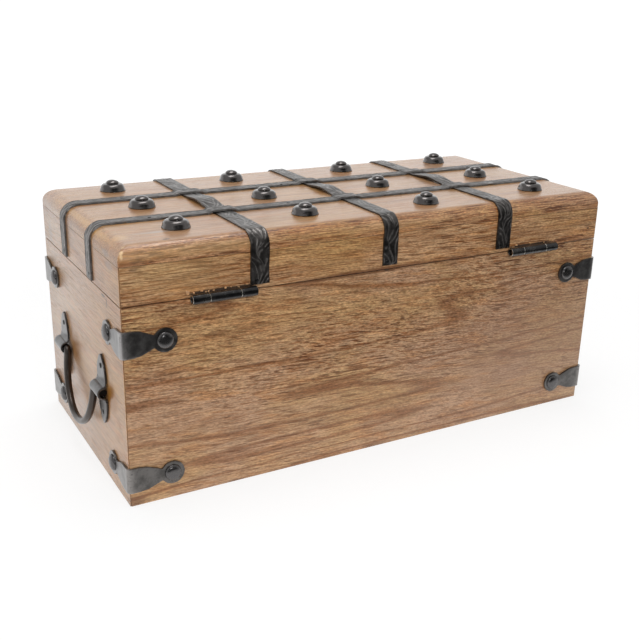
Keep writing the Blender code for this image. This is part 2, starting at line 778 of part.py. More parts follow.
def hasp_plate_mesh():
    """The plate above the pin, with a tab down to each outer knuckle."""
    tab_half = hasp_outer_knuckle / 2 - knuckle_tab_inset
    bottom = hasp_axis_z + hasp_knuckle_radius + joint_gap
    top = hasp_axis_z + hasp_plate_height
    face_y = wood_face_y - hasp_thickness
    plate_low = (hasp_x - hasp_plate_half, face_y, bottom)
    plate_high = (hasp_x + hasp_plate_half, wood_face_y, top)
    joined = []
    for side in (-1, 1):
        knuckle_x = hasp_x + side * hasp_knuckle_middle
        tab_low = (knuckle_x - tab_half, face_y, hasp_axis_z)
        tab_high = (knuckle_x + tab_half, wood_face_y, bottom + weld_depth)
        joined.append(mesh_of("tab", box_shape(tab_low, tab_high)))
        place = (knuckle_x, hasp_axis_y, hasp_axis_z)
        joined.append(tube_mesh("knuckle", hasp_knuckle_radius, hasp_bore, hasp_outer_knuckle, place))
        nail_place = (hasp_x + side * hasp_plate_half / 2, face_y, (bottom + top) / 2)
        joined.append(dome_mesh(handle_nail_radius, hasp_nail_height, -back, nail_place))
    plate = mesh_of("plate", box_shape(plate_low, plate_high))
    return combined_mesh("hasp_plate", plate, joined, "UNION")


def hasp_leaf_mesh():
    """The slotted leaf, drawn as it hangs over the staple and then swung up to lean on the lid."""
    leaf_back = hasp_axis_y + hasp_thickness / 2
    neck_half = hasp_middle_knuckle / 2 - knuckle_tab_inset
    top = hasp_axis_z - (hasp_knuckle_radius + hasp_bore) / 2
    shoulder = hasp_axis_z - hasp_knuckle_radius - 2 * joint_gap
    half_width = hasp_leaf_width / 2
    end_centre = Vector((hasp_x, leaf_back, hasp_axis_z - hasp_leaf_length + half_width))
    sloped = shoulder - neck_half / 2
    neck = ((half_width, sloped), (neck_half, shoulder), (neck_half, top))
    outline = [Vector((hasp_x - along, leaf_back, height)) for along, height in neck]
    outline += [Vector((hasp_x + along, leaf_back, height)) for along, height in reversed(neck)]
    outline += arc(end_centre, half_width, 0, -pi, 10, right, up)
    plate = flat_mesh("hasp_leaf_plate", outline, -back * hasp_thickness)
    axis_point = Vector((hasp_x, hasp_axis_y, hasp_axis_z))
    knuckle = tube_mesh("knuckle", hasp_knuckle_radius, hasp_bore, hasp_middle_knuckle, axis_point)
    joined = combined_mesh("hasp_leaf_joined", plate, [knuckle], "UNION")
    mesh = combined_mesh("hasp_leaf", joined, [slot_mesh()], "DIFFERENCE")
    axis_place = Matrix.Translation(axis_point)
    mesh.transform(axis_place @ Matrix.Rotation(radians(-hasp_leaf_lift), 4, "X") @ axis_place.inverted())
    return mesh


slot_middle_z = hasp_axis_z - hasp_leaf_length + hasp_slot_end + hasp_slot_length / 2


def slot_mesh():
    """The slot through the leaf, round at both ends."""
    radius = hasp_slot_width / 2
    straight = hasp_slot_length / 2 - radius
    middle = Vector((hasp_x, hasp_axis_y + hasp_thickness, slot_middle_z))
    outline = arc(middle + up * straight, radius, 0, pi, 6, right, up)
    outline += arc(middle - up * straight, radius, pi, 2 * pi, 6, right, up)
    return flat_mesh("slot", outline, -back * (2 * hasp_thickness))


def hasp_staple_mesh():
    """A plate on the body's front and a loop of wire that stands out through the slot."""
    half_width = hasp_staple_plate_width / 2
    half_height = hasp_staple_plate_height / 2
    low = (hasp_x - half_width, wood_face_y - hasp_staple_plate_thickness, slot_middle_z - half_height)
    high = (hasp_x + half_width, wood_face_y, slot_middle_z + half_height)
    plate = mesh_of("hasp_staple_plate", box_shape(low, high))
    root = Vector((hasp_x, wood_face_y - hasp_staple_plate_thickness / 2, slot_middle_z))
    turn_centre = Vector((hasp_x, -half_depth - hasp_staple_reach + hasp_staple_half_height, slot_middle_z))
    points = [root + up * hasp_staple_half_height]
    points += arc(turn_centre, hasp_staple_half_height, pi / 2, -pi / 2, 8, -back, up)
    points.append(root - up * hasp_staple_half_height)
    joined = [bar_mesh("hasp_staple_loop", points, hasp_staple_wire_radius)]
    for side in (-1, 1):
        nail_x = hasp_x + side * (half_width - 2 * handle_nail_radius)
        for level in (-1, 1):
            nail_z = slot_middle_z + level * (half_height - 2 * handle_nail_radius)
            place = (nail_x, wood_face_y - hasp_staple_plate_thickness, nail_z)
            joined.append(dome_mesh(handle_nail_radius, hasp_nail_height, -back, place))
    return combined_mesh("hasp_staple", plate, joined, "UNION")


place_mesh("hasp_plate", hasp_plate_mesh(), hasp_iron, pivot=lid_pivot)
place_mesh("hasp_leaf", hasp_leaf_mesh(), hasp_iron, pivot=hasp_pivot)
hasp_pin = pin_mesh("hasp_pin", hasp_pin_radius, hasp_plate_half - knuckle_tab_inset, hasp_pin_segments)
place_mesh("hasp_pin", hasp_pin, hasp_iron, (hasp_x, hasp_axis_y, hasp_axis_z), pivot=lid_pivot)
place_mesh("hasp_staple", hasp_staple_mesh(), hasp_iron)
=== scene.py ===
"""The looks of a small wooden treasure chest, strapped with hammered iron and seen from behind.

Lengths are in metres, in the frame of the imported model: +X is right, +Y is back and +Z is up.
"""

from math import cos, exp, pi, radians, sin, sqrt

import bpy
from mathutils import Matrix, Quaternion, Vector, noise


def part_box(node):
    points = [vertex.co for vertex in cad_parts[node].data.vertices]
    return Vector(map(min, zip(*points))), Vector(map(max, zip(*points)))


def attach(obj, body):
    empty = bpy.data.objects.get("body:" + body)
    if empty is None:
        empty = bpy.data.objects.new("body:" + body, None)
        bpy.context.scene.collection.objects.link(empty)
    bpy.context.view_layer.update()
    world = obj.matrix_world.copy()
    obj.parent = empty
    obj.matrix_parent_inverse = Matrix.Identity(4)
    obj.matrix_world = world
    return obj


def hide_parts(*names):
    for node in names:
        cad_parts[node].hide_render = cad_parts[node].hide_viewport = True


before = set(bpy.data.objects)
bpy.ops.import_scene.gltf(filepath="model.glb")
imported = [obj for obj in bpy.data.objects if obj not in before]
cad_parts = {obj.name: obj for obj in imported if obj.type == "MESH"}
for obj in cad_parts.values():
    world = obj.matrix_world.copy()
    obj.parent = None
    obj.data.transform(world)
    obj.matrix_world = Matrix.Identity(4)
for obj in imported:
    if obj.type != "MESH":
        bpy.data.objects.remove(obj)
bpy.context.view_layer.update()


# The room: the chest stands on a white sweep before a white screen, in a room that is dim behind the
# camera. A soft lamp hangs over it, a broad dim one stands behind the camera, and a small one beside
# the camera puts the glints on the studs.

camera_place = Vector((0.3225, 0.5597, 0.2999))
camera_target = Vector((-0.0236, -0.0470, 0.0438))
camera_roll = radians(1.372)
camera_lens = 52.54
camera_sensor = 36
nearest_seen = 0.02
floor_size = 9
floor_drop = 0.0002
floor_white = (0.86, 0.86, 0.86, 1)
floor_dim = (0.10, 0.10, 0.10, 1)
floor_edge = (0.115, 0.25)
floor_glow_share = 0.70
floor_glow_reach = (0.35, 0.8)
floor_glow = 1.085
screen_place = (0, -1.25, 0.43)
screen_width = 5.0
screen_height = 0.9
screen_glow = 1.1
curtain_place = (0, 2.4, 1.0)
curtain_height = 2.0
curtain_fade = (0.6, 2.5)
room_grey = (0.56, 0.56, 0.56, 1)
room_white = (1, 1, 1, 1)
# Each lamp's name, place, width, height and watts
lamps = (
    ("high_lamp", (0.05, -0.06, 1.15), 0.90, 0.40, 4.3),
    ("broad_lamp", (0.75, 2.10, 0.95), 2.0, 1.3, 38.0),
    ("near_lamp", (0.19, 0.66, 0.30), 0.05, 0.05, 0.25),
)

bpy.ops.object.camera_add(location=camera_place)
camera = bpy.context.object
camera.rotation_mode = "QUATERNION"
facing = (camera_target - camera_place).to_track_quat("-Z", "Y")
camera.rotation_quaternion = facing @ Quaternion((0, 0, 1), camera_roll)
camera.data.lens = camera_lens
camera.data.sensor_width = camera_sensor
camera.data.clip_start = nearest_seen
bpy.context.scene.camera = camera
bpy.context.scene.view_settings.view_transform = "Standard"


def put_node(tree, kind, wires=None, **settings):
    """A node with its settings, and each input wired to a socket or set to a value."""
    made = tree.nodes.new(kind)
    for name, value in settings.items():
        setattr(made, name, value)
    for entry, value in (wires or {}).items():
        if isinstance(value, bpy.types.NodeSocket):
            tree.links.new(value, made.inputs[entry])
        else:
            made.inputs[entry].default_value = value
    return made


def empty_tree(owner):
    """The node tree of a material or world, with nothing in it."""
    owner.use_nodes = True
    owner.node_tree.nodes.clear()
    return owner.node_tree


def reckon(tree, operation, first, second=0.0, clamp=False):
    """One sum on two values or sockets."""
    wires = {0: first, 1: second}
    return put_node(tree, "ShaderNodeMath", wires, operation=operation, use_clamp=clamp).outputs[0]


def times(tree, first, second, clamp=False):
    """Two values or sockets multiplied."""
    return reckon(tree, "MULTIPLY", first, second, clamp)


def plus(tree, first, second, clamp=False):
    """Two values or sockets added."""
    return reckon(tree, "ADD", first, second, clamp)


def minus(tree, first, second):
    """The second value or socket taken from the first."""
    return reckon(tree, "SUBTRACT", first, second)


def reckon_places(tree, operation, first, second):
    """One sum on two places or sizes."""
    return put_node(tree, "ShaderNodeVectorMath", {0: first, 1: second}, operation=operation).outputs[0]


def ramp(tree, value, low, high, to_low=0.0, to_high=1.0):
    """A value spread smoothly from one range over another."""
    wires = {"Value": value, "From Min": low, "From Max": high, "To Min": to_low, "To Max": to_high}
    return put_node(tree, "ShaderNodeMapRange", wires, interpolation_type="SMOOTHSTEP").outputs[0]


def blend(tree, share, first, second, way="MIX"):
    """Two colours mixed by a share."""
    wires = {0: share, 6: first, 7: second}
    return put_node(tree, "ShaderNodeMix", wires, data_type="RGBA", blend_type=way).outputs[2]


def alone(piece=None):
    """Leaves edit mode, and selects one piece alone or nothing."""
    if bpy.context.object and bpy.context.object.mode != "OBJECT":
        bpy.ops.object.mode_set(mode="OBJECT")
    bpy.ops.object.select_all(action="DESELECT")
    if piece:
        piece.select_set(True)
        bpy.context.view_layer.objects.active = piece


def begin(kind, **settings):
    """Adds a primitive with nothing else selected."""
    alone()
    getattr(bpy.ops.mesh, f"primitive_{kind}_add")(**settings)
    return bpy.context.object


def settle(piece, name):
    """Names a piece and puts its place, turn and size into its mesh."""
    alone(piece)
    bpy.ops.object.transform_apply(location=True, rotation=True, scale=True)
    piece.name = name
    piece.data.name = name
    return piece


def backdrop(name, place, width, height, upright):
    """A flat sheet of the room, lying or upright across the room."""
    sheet = begin("plane", size=1, location=place)
    sheet.scale = (width, height, 1)
    if upright:
        sheet.rotation_euler.x = radians(90)
    settle(sheet, name)
    sheet.data.materials.append(bpy.data.materials.new(f"{name}_paint"))
    return empty_tree(sheet.data.materials[0])


def glowing_paint(tree, share, colour, strength):
    """Matt paint that gives way to a white glow by a share."""
    matt = put_node(tree, "ShaderNodeBsdfDiffuse", {"Color": colour}).outputs[0]
    glow = put_node(tree, "ShaderNodeEmission", {"Color": room_white, "Strength": strength}).outputs[0]
    mixed = put_node(tree, "ShaderNodeMixShader", {0: share, 1: matt, 2: glow}).outputs[0]
    put_node(tree, "ShaderNodeOutputMaterial", {"Surface": mixed})


# The sweep: white for the camera but for the shadow, and dim where it runs out behind the camera
tree = backdrop("white_sweep", (0, 0, -floor_drop), floor_size, floor_size, False)
coords = put_node(tree, "ShaderNodeTexCoord").outputs["Object"]
far = ramp(tree, put_node(tree, "ShaderNodeSeparateXYZ", {0: coords}).outputs["Y"], *floor_edge)
rays = put_node(tree, "ShaderNodeLightPath").outputs
unseen = reckon(tree, "MAXIMUM", minus(tree, far, rays["Is Camera Ray"]), 0.0)
shiny = times(tree, rays["Is Glossy Ray"], minus(tree, 1.0, far))
seen = reckon(tree, "MAXIMUM", rays["Is Camera Ray"], shiny)
centre = put_node(tree, "ShaderNodeVectorMath", {0: coords}, operation="LENGTH").outputs["Value"]
share = times(tree, seen, ramp(tree, centre, *floor_glow_reach, floor_glow_share))
glowing_paint(tree, share, blend(tree, unseen, floor_white, floor_dim), floor_glow)

# The screen behind the chest, and the dim side of the room, which is white for the camera alone
for name, place, high, wanted in (
    ("white_screen", screen_place, screen_height, ("Is Camera Ray", "Is Glossy Ray")),
    ("dim_curtain", curtain_place, curtain_height, ("Is Camera Ray", "Is Camera Ray")),
):
    tree = backdrop(name, place, screen_width, high, True)
    rays = put_node(tree, "ShaderNodeLightPath").outputs
    paper = floor_white
    if name == "dim_curtain":
        coords = put_node(tree, "ShaderNodeTexCoord").outputs["Object"]
        aside = put_node(tree, "ShaderNodeSeparateXYZ", {0: coords}).outputs["X"]
        fade = ramp(tree, reckon(tree, "ABSOLUTE", aside), *curtain_fade)
        paper = blend(tree, fade, floor_dim, floor_white)
    glowing_paint(tree, reckon(tree, "MAXIMUM", rays[wanted[0]], rays[wanted[1]]), paper, screen_glow)

if not bpy.context.scene.world:
    bpy.context.scene.world = bpy.data.worlds.new("room")
tree = empty_tree(bpy.context.scene.world)
seen = put_node(tree, "ShaderNodeLightPath").outputs["Is Camera Ray"]
grey = put_node(tree, "ShaderNodeBackground", {"Color": room_grey, "Strength": 1.0}).outputs[0]
white = put_node(tree, "ShaderNodeBackground", {"Color": room_white, "Strength": 1.0}).outputs[0]
mixed = put_node(tree, "ShaderNodeMixShader", {0: seen, 1: grey, 2: white}).outputs[0]
put_node(tree, "ShaderNodeOutputWorld", {"Surface": mixed})

for name, place, width, height, watts in lamps:
    bpy.ops.object.light_add(type="AREA", location=place)
    lamp = bpy.context.object
    lamp.name = name
    lamp.data.shape = "RECTANGLE"
    lamp.data.size = width
    lamp.data.size_y = height
    lamp.data.energy = watts
    lamp.rotation_euler = (-Vector(place)).to_track_quat("-Z", "Y").to_euler()
    lamp.visible_glossy = name != "broad_lamp"


# The box: four boards mitred at the corners round a let-in bottom, and a lid of four narrow rails under
# a thick top board. All are of one waxed brown hardwood, planed smooth, its edges rubbed round.

corner_ease = 0.0007
rim_ease = 0.0006
inner_ease = 0.0004
mitre_gap = 0.0002
half_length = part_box("right_board")[1].x
half_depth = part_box("back_board")[1].y
wall = half_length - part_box("right_board")[0].x

wood_gold = (0.475, 0.280, 0.120, 1)
wood_rose = (0.455, 0.272, 0.150, 1)
wood_ember = (0.470, 0.225, 0.085, 1)
wood_brown = (0.215, 0.080, 0.025, 1)
wood_dark = (0.110, 0.034, 0.008, 1)
# How finely each part of the grain is spread, in cells per metre along and across it
wave_spread = (9, 26, 26)
drift_spread = (10, 22, 22)
stain_spread = (19, 75, 75)
fleck_spread = (42, 860, 860)
fibre_spread = (48, 1250, 1250)
ring_spread = (1.5, 22, 22)
speckle_spread = (420, 1600, 1600)
vigour_spread = (7, 13, 13)
ember_spread = (26, 190, 190)
straw_spread = (40, 1100, 1100)
wave_width = 0.010
ring_count = 15.0
coat_roughness = 0.24
grain_depth = 0.0003
grain_strength = 0.5


def new_group(name, entries, results):
    """A shader node group. What an entry takes follows from its usual value: a number, place or colour."""
    group = bpy.data.node_groups.new(name, "ShaderNodeTree")
    for entry, value in entries.items():
        kind = {3: "Vector", 4: "Color"}[len(value)] if isinstance(value, tuple) else "Float"
        made = group.interface.new_socket(name=entry, in_out="INPUT", socket_type=f"NodeSocket{kind}")
        made.default_value = value
    for result in results:
        kind = "Color" if result == "Color" else "Float"
        group.interface.new_socket(name=result, in_out="OUTPUT", socket_type=f"NodeSocket{kind}")
    start = group.nodes.new("NodeGroupInput")
    return group, start.outputs


def stretched_noise(tree, vector, stretch, detail=2.0, roughness=0.55):
    """Noise that runs a different distance along each axis, in cells per metre."""
    spread = reckon_places(tree, "MULTIPLY", vector, stretch)
    wires = {"Vector": spread, "Scale": 1.0, "Detail": detail, "Roughness": roughness, "Distortion": 0.0}
    return put_node(tree, "ShaderNodeTexNoise", wires).outputs[0]


# Grain along X: gold to rose in drifts, long growth rings, and short dark flecks that may lean
usual = {"Vector": (0, 0, 0), "Streaks": 0.6, "Rings": 0.4, "Lean": 0.0}
wood_grain, given = new_group("wood_grain", usual, ("Color", "Height", "Roughness"))
tree = wood_grain
wave = stretched_noise(tree, given["Vector"], wave_spread, 2.0)
drift = times(tree, minus(tree, wave, 0.5), wave_width)
aside = put_node(tree, "ShaderNodeCombineXYZ", {"X": 0.0, "Y": drift, "Z": drift}).outputs[0]
along = reckon_places(tree, "ADD", given["Vector"], aside)
way = put_node(tree, "ShaderNodeSeparateXYZ", {0: given["Vector"]}).outputs["X"]
slip = times(tree, way, given["Lean"])
aside = put_node(tree, "ShaderNodeCombineXYZ", {"X": 0.0, "Y": slip, "Z": slip}).outputs[0]
leant = reckon_places(tree, "SUBTRACT", along, aside)
drifts = ramp(tree, stretched_noise(tree, given["Vector"], drift_spread, 3.0), 0.36, 0.62)
stains = ramp(tree, stretched_noise(tree, along, stain_spread, 3.0, 0.6), 0.50, 0.70)
flecks = stretched_noise(tree, leant, fleck_spread, 2.5, 0.58)
streaks = ramp(tree, flecks, 0.545, 0.65)
fibres = ramp(tree, stretched_noise(tree, leant, fibre_spread, 2.0, 0.55), 0.47, 0.62)
turns = times(tree, stretched_noise(tree, along, ring_spread, 1.0), ring_count)
turns = plus(tree, turns, times(tree, flecks, 0.35))
rings = ramp(tree, reckon(tree, "PINGPONG", turns, 1.0), 0.0, 0.30, 1.0, 0.0)
speckle = stretched_noise(tree, leant, speckle_spread, 2.0, 0.6)
vigour = ramp(tree, stretched_noise(tree, given["Vector"], vigour_spread, 1.0), 0.38, 0.62, 0.66, 1.08)
vigour = times(tree, given["Streaks"], vigour)
embers = ramp(tree, stretched_noise(tree, leant, ember_spread, 3.0, 0.6), 0.48, 0.68, 0.0, 0.7)
colour = blend(tree, drifts, wood_gold, wood_rose)
colour = blend(tree, embers, colour, wood_ember)
colour = blend(tree, times(tree, stains, 0.38), colour, wood_brown)
colour = blend(tree, times(tree, rings, given["Rings"]), colour, wood_brown)
colour = blend(tree, times(tree, fibres, vigour, True), colour, wood_brown)
colour = blend(tree, times(tree, streaks, vigour, True), colour, wood_dark)
tone = ramp(tree, speckle, 0.28, 0.72, 0.60, 1.46)
straw = ramp(tree, stretched_noise(tree, along, straw_spread, 2.0, 0.55), 0.38, 0.62, 0.88, 1.14)
tone = times(tree, minus(tree, tone, 1.0), given["Streaks"])
tone = times(tree, plus(tree, tone, 1.0), straw)
tone = put_node(tree, "ShaderNodeCombineColor", {0: tone, 1: tone, 2: tone}).outputs[0]
colour = blend(tree, 1.0, colour, tone, "MULTIPLY")
pores = ramp(tree, speckle, 0.56, 0.70)
hollows = plus(tree, times(tree, pores, 0.5), times(tree, streaks, 0.5))
height = minus(tree, times(tree, fibres, -0.4), hollows)
put_node(tree, "NodeGroupOutput", {"Color": colour, "Height": height,
                                   "Roughness": ramp(tree, hollows, 0.0, 1.0, 0.30, 0.52)})

# A soft spot round a place, ragged at its rim
spot_raggedness = 0.3
rim_spread = (340, 340, 340)
spot, given = new_group("spot", {"Vector": (0, 0, 0), "Place": (0, 0, 0), "Reach": (1, 1, 1)}, ("Mask",))
tree = spot
off = reckon_places(tree, "SUBTRACT", given["Vector"], given["Place"])
off = reckon_places(tree, "DIVIDE", off, given["Reach"])
away = put_node(tree, "ShaderNodeVectorMath", {0: off}, operation="LENGTH").outputs["Value"]
rough_rim = minus(tree, stretched_noise(tree, given["Vector"], rim_spread, 3.0), 0.5)
away = plus(tree, away, times(tree, rough_rim, spot_raggedness))
put_node(tree, "NodeGroupOutput", {"Mask": ramp(tree, away, 0.35, 1.0, 1.0, 0.0)})


def add_spot(tree, coords, place, reach):
    """A spot's mask in a material."""
    wires = {"Vector": coords, "Place": place, "Reach": reach}
    return put_node(tree, "ShaderNodeGroup", wires, node_tree=spot).outputs["Mask"]


def wood(name, across, shift, streaks=0.6, rings=0.4, lean=0.0, tint=(1, 1, 1, 1), marks=(), calm=(), wax=0.8,
         gloss=0.5):
    """Waxed wood, its grain along X, or across the chest along Y.

    Marks are stains, and in some places painted shade, as (place, reach, colour, strength). Calm places,
    where the streaks fade, are given as (axis, from, to, share left), measured from the middle.
    """
    made = bpy.data.materials.new(name)
    tree = empty_tree(made)
    coords = put_node(tree, "ShaderNodeTexCoord").outputs["Object"]
    wires = {"Vector": coords, "Location": shift, "Rotation": (0, 0, radians(90) if across else 0)}
    mapped = put_node(tree, "ShaderNodeMapping", wires).outputs[0]
    wires = {"Vector": mapped, "Streaks": streaks, "Rings": rings, "Lean": lean}
    grain = put_node(tree, "ShaderNodeGroup", wires, node_tree=wood_grain)
    strength = streaks
    for axis, start, end, left in calm:
        place = put_node(tree, "ShaderNodeSeparateXYZ", {0: coords}).outputs[axis]
        fade = ramp(tree, reckon(tree, "ABSOLUTE", place), start, end, 1.0, left)
        strength = times(tree, fade, strength)
        tree.links.new(strength, grain.inputs["Streaks"])
    colour = blend(tree, 1.0, grain.outputs["Color"], tint, "MULTIPLY")
    for place, reach, mark_colour, strength in marks:
        mask = times(tree, add_spot(tree, coords, place, reach), strength)
        colour = blend(tree, mask, colour, mark_colour)
    wires = {"Height": grain.outputs["Height"], "Strength": grain_strength, "Distance": grain_depth}
    bump = put_node(tree, "ShaderNodeBump", wires).outputs[0]
    wires = {
        "Base Color": colour, "Roughness": grain.outputs["Roughness"], "Normal": bump,
        "Coat Weight": wax, "Coat Roughness": coat_roughness, "Specular IOR Level": gloss,
    }
    shader = put_node(tree, "ShaderNodeBsdfPrincipled", wires).outputs[0]
    put_node(tree, "ShaderNodeOutputMaterial", {"Surface": shader})
    return made


def pick(piece, kind, test):
    """Goes into edit mode with the vertices, edges or faces selected whose corners all pass a test."""
    bpy.ops.object.mode_set(mode="EDIT")
    bpy.ops.mesh.select_mode(type=kind)
    bpy.ops.mesh.select_all(action="DESELECT")
    bpy.ops.object.mode_set(mode="OBJECT")
    corners = piece.data.vertices
    if kind == "VERT":
        for vertex in corners:
            vertex.select = test(vertex.co)
    else:
        for part in piece.data.edges if kind == "EDGE" else piece.data.polygons:
            part.select = all(test(corners[number].co) for number in part.vertices)
    bpy.ops.object.mode_set(mode="EDIT")


def pick_edges(piece, test):
    """Goes into edit mode with the edges selected whose two ends pass a test together."""
    pick(piece, "EDGE", lambda co: False)
    bpy.ops.object.mode_set(mode="OBJECT")
    corners = piece.data.vertices
    for edge in piece.data.edges:
        edge.select = test(*(corners[number].co for number in edge.vertices))
    bpy.ops.object.mode_set(mode="EDIT")


def smooth(piece, angle=35):
    """Rounds the shading of a piece except at its sharp edges."""
    alone(piece)
    bpy.ops.object.shade_smooth_by_angle(angle=radians(angle))


def hand_over(piece, material, body, slot, *nodes):
    """Gives a finished piece its material and its body, and hides the CAD nodes that it stands for. The slot
    is not used.
    """
    piece.data.materials.clear()
    piece.data.materials.append(material)
    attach(piece, body)
    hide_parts(*nodes)
    return piece


def block(name, low, high):
    """A cube between two corners."""
    middle = [(first + second) / 2 for first, second in zip(low, high)]
    piece = begin("cube", size=1, location=middle)
    piece.scale = [second - first for first, second in zip(low, high)]
    return settle(piece, name)


def board(node, name, along_x):
    """A board from its CAD box: its ends mitred inwards, then its edges eased."""
    low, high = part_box(node)
    run = 0 if along_x else 1
    across = 1 - run
    reach = (half_length if along_x else half_depth) - mitre_gap
    low[run], high[run] = -reach, reach
    inner = max(abs(low[across]), abs(high[across])) - wall
    piece = block(name, low, high)
    for end in (-1, 1):
        pick(piece, "VERT", lambda co: abs(abs(co[across]) - inner) < wall / 4 and co[run] * end > 0)
        move = Vector((0, 0, 0))
        move[run] = -end * wall
        bpy.ops.transform.translate(value=move)

    def outside(first, second):
        return min(abs(first[across]), abs(second[across])) > inner + wall / 2

    def upright(first, second):
        return outside(first, second) and abs(first.z - second.z) > (high.z - low.z) / 2

    def lengthwise(first, second):
        return outside(first, second) and abs(first[run] - second[run]) > reach

    for ease, wanted in ((corner_ease, upright), (rim_ease, lengthwise)):
        pick_edges(piece, wanted)
        bpy.ops.mesh.bevel(offset=ease, segments=3, affect="EDGES")
        bpy.ops.object.mode_set(mode="OBJECT")
    return piece


grain_shift = {
    "front": (0.31, 0.12, 0.4),
    "back": (1.13, 0.37, 0.052),
    "left": (0.73, 0.55, 0.9),
    "right": (0.05, 0.21, 0.6),
}
rust = (0.34, 0.145, 0.030, 1)
soot_and_shade = (0.05, 0.032, 0.022, 1)
scuff = (0.26, 0.19, 0.15, 1)
seam_and_shade_brown = (0.12, 0.045, 0.018, 1)
rosy_shade = (0.30, 0.165, 0.100, 1)
straw_light = (0.50, 0.33, 0.15, 1)
body_marks = {
    "right": (
        ((0.178, -0.019, 0.069), (0.006, 0.015, 0.018), rust, 0.85),
        ((0.178, -0.026, 0.071), (0.006, 0.006, 0.009), rust, 0.75),
        # A dark spot beside the far staple's arch, behind the bail's arm: painted shade
        ((0.178, -0.030, 0.0600), (0.006, 0.004, 0.006), soot_and_shade, 0.6),
        ((0.178, 0.058, 0.0600), (0.006, 0.014, 0.013), rust, 1.0),
        ((0.178, 0.053, 0.0590), (0.006, 0.007, 0.008), rust, 0.8),
        ((0.178, 0.0835, 0.0020), (0.004, 0.0080, 0.0060), seam_and_shade_brown, 0.45),
        ((0.178, 0.0515, 0.1238), (0.004, 0.0052, 0.0013), soot_and_shade, 0.85),
        ((0.178, 0.0575, 0.1212), (0.004, 0.0014, 0.0042), soot_and_shade, 0.7),
    ),
    "back": (
        ((0.030, 0.0835, 0.1254), (0.070, 0.004, 0.0020), seam_and_shade_brown, 0.75),
        ((0.1650, 0.0835, 0.1254), (0.020, 0.004, 0.0018), seam_and_shade_brown, 0.5),
        ((-0.060, 0.0835, 0.1256), (0.040, 0.004, 0.0012), seam_and_shade_brown, 0.6),
        ((0.0025, 0.0835, 0.1256), (0.0030, 0.004, 0.0014), soot_and_shade, 0.9),
        ((0.006, 0.0835, 0.0010), (0.015, 0.004, 0.0030), seam_and_shade_brown, 0.5),
        ((0.1760, 0.0835, 0.0030), (0.0110, 0.004, 0.0055), seam_and_shade_brown, 0.6),
        ((0.0300, 0.0835, 0.0310), (0.2000, 0.004, 0.0085), seam_and_shade_brown, 0.13),
        ((-0.125, 0.0835, 0.0500), (0.0900, 0.004, 0.0650), rosy_shade, 0.35),
        ((0.1450, 0.0835, 0.1190), (0.0300, 0.004, 0.0060), seam_and_shade_brown, 0.22),
    ),
    "left": (
        ((-0.178, 0.024, 0.064), (0.006, 0.010, 0.015), rust, 0.6),
        ((-0.178, -0.056, 0.060), (0.006, 0.010, 0.013), rust, 0.6),
    ),
}
rail_marks = {
    "right": (
        ((0.178, -0.066, 0.134), (0.004, 0.007, 0.010), scuff, 0.5),
        ((0.178, 0.066, 0.146), (0.004, 0.010, 0.004), scuff, 0.6),
    ),
    "back": (
        ((0.148, 0.0835, 0.1440), (0.045, 0.004, 0.0200), straw_light, 0.28),
        ((0.035, 0.0835, 0.1420), (0.050, 0.004, 0.0240), seam_and_shade_brown, 0.12),
        # Dark bands just above the two hinge barrels, along their mortises: painted shade of the recess and
        # under the barrels
        ((0.129, 0.0835, 0.1283), (0.013, 0.003, 0.0018), soot_and_shade, 1.0),
        ((0.116, 0.0835, 0.1284), (0.013, 0.003, 0.0019), soot_and_shade, 1.0),
        ((0.103, 0.0835, 0.1283), (0.013, 0.003, 0.0017), soot_and_shade, 1.0),
        ((-0.108, 0.0835, 0.1283), (0.015, 0.003, 0.0017), soot_and_shade, 1.0),
        ((-0.126, 0.0835, 0.1283), (0.015, 0.003, 0.0016), soot_and_shade, 1.0),
        ((-0.170, 0.0835, 0.1344), (0.0012, 0.003, 0.0012), soot_and_shade, 0.8),
        ((0.1695, 0.0835, 0.1470), (0.0040, 0.003, 0.0016), soot_and_shade, 0.5),
        ((0.004, 0.0835, 0.1262), (0.085, 0.004, 0.0020), seam_and_shade_brown, 0.7),
        ((0.162, 0.0835, 0.1262), (0.022, 0.004, 0.0012), seam_and_shade_brown, 0.45),
        ((-0.160, 0.0835, 0.1262), (0.020, 0.004, 0.0012), seam_and_shade_brown, 0.6),
    ),
}
# The finish of the long and of the short boards: how strong the streaks are, how far they lean from the
# edges, the tint of a wall and of a lid rail, the wax and the gloss under it
long_finish = (0.90, 0.075, (0.935, 0.955, 1.02, 1), (1.00, 0.995, 0.935, 1), 0.42, 0.35)
short_finish = (0.22, 0.0, (0.98, 0.95, 0.98, 1), (0.92, 0.86, 0.86, 1), 0.55, 0.5)
wall_ring_share = 0.85
rail_streak_share = 0.88
rail_rings = 0.34
rail_lean_share = 0.5
rail_shift = 0.017
wall_calm = (("Z", 0.085, 0.035, 0.62),)
for side, shift in grain_shift.items():
    along_x = side in ("front", "back")
    strength, lean, wall_tint, rail_tint, wax, gloss = long_finish if along_x else short_finish
    finish = wood(f"{side}_wood", not along_x, shift, strength, wall_ring_share * strength, lean, wall_tint,
                  body_marks.get(side, ()), wall_calm, wax, gloss)
    made = board(f"{side}_board", f"{side}_panel", along_x)
    smooth(made)
    hand_over(made, finish, "chest", "body_wood", f"{side}_board")
    shift = [part + rail_shift for part in shift]
    finish = wood(f"lid_{side}_wood", not along_x, shift, rail_streak_share * strength, rail_rings,
                  rail_lean_share * lean, rail_tint, rail_marks.get(side, ()), (), wax, gloss)
    made = board(f"lid_{side}_rail", f"lid_{side}_strip", along_x)
    smooth(made)
    hand_over(made, finish, "lid", "lid_wood", f"lid_{side}_rail")

low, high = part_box("bottom_board")
bottom = block("bottom_panel", low, high)
pick(bottom, "FACE", lambda co: True)
bpy.ops.mesh.bevel(offset=inner_ease, segments=2, affect="EDGES")
smooth(bottom)
hand_over(bottom, wood("bottom_wood", False, (0.5, 0.9, 0.2), 0.4), "chest", "body_wood", "bottom_board")


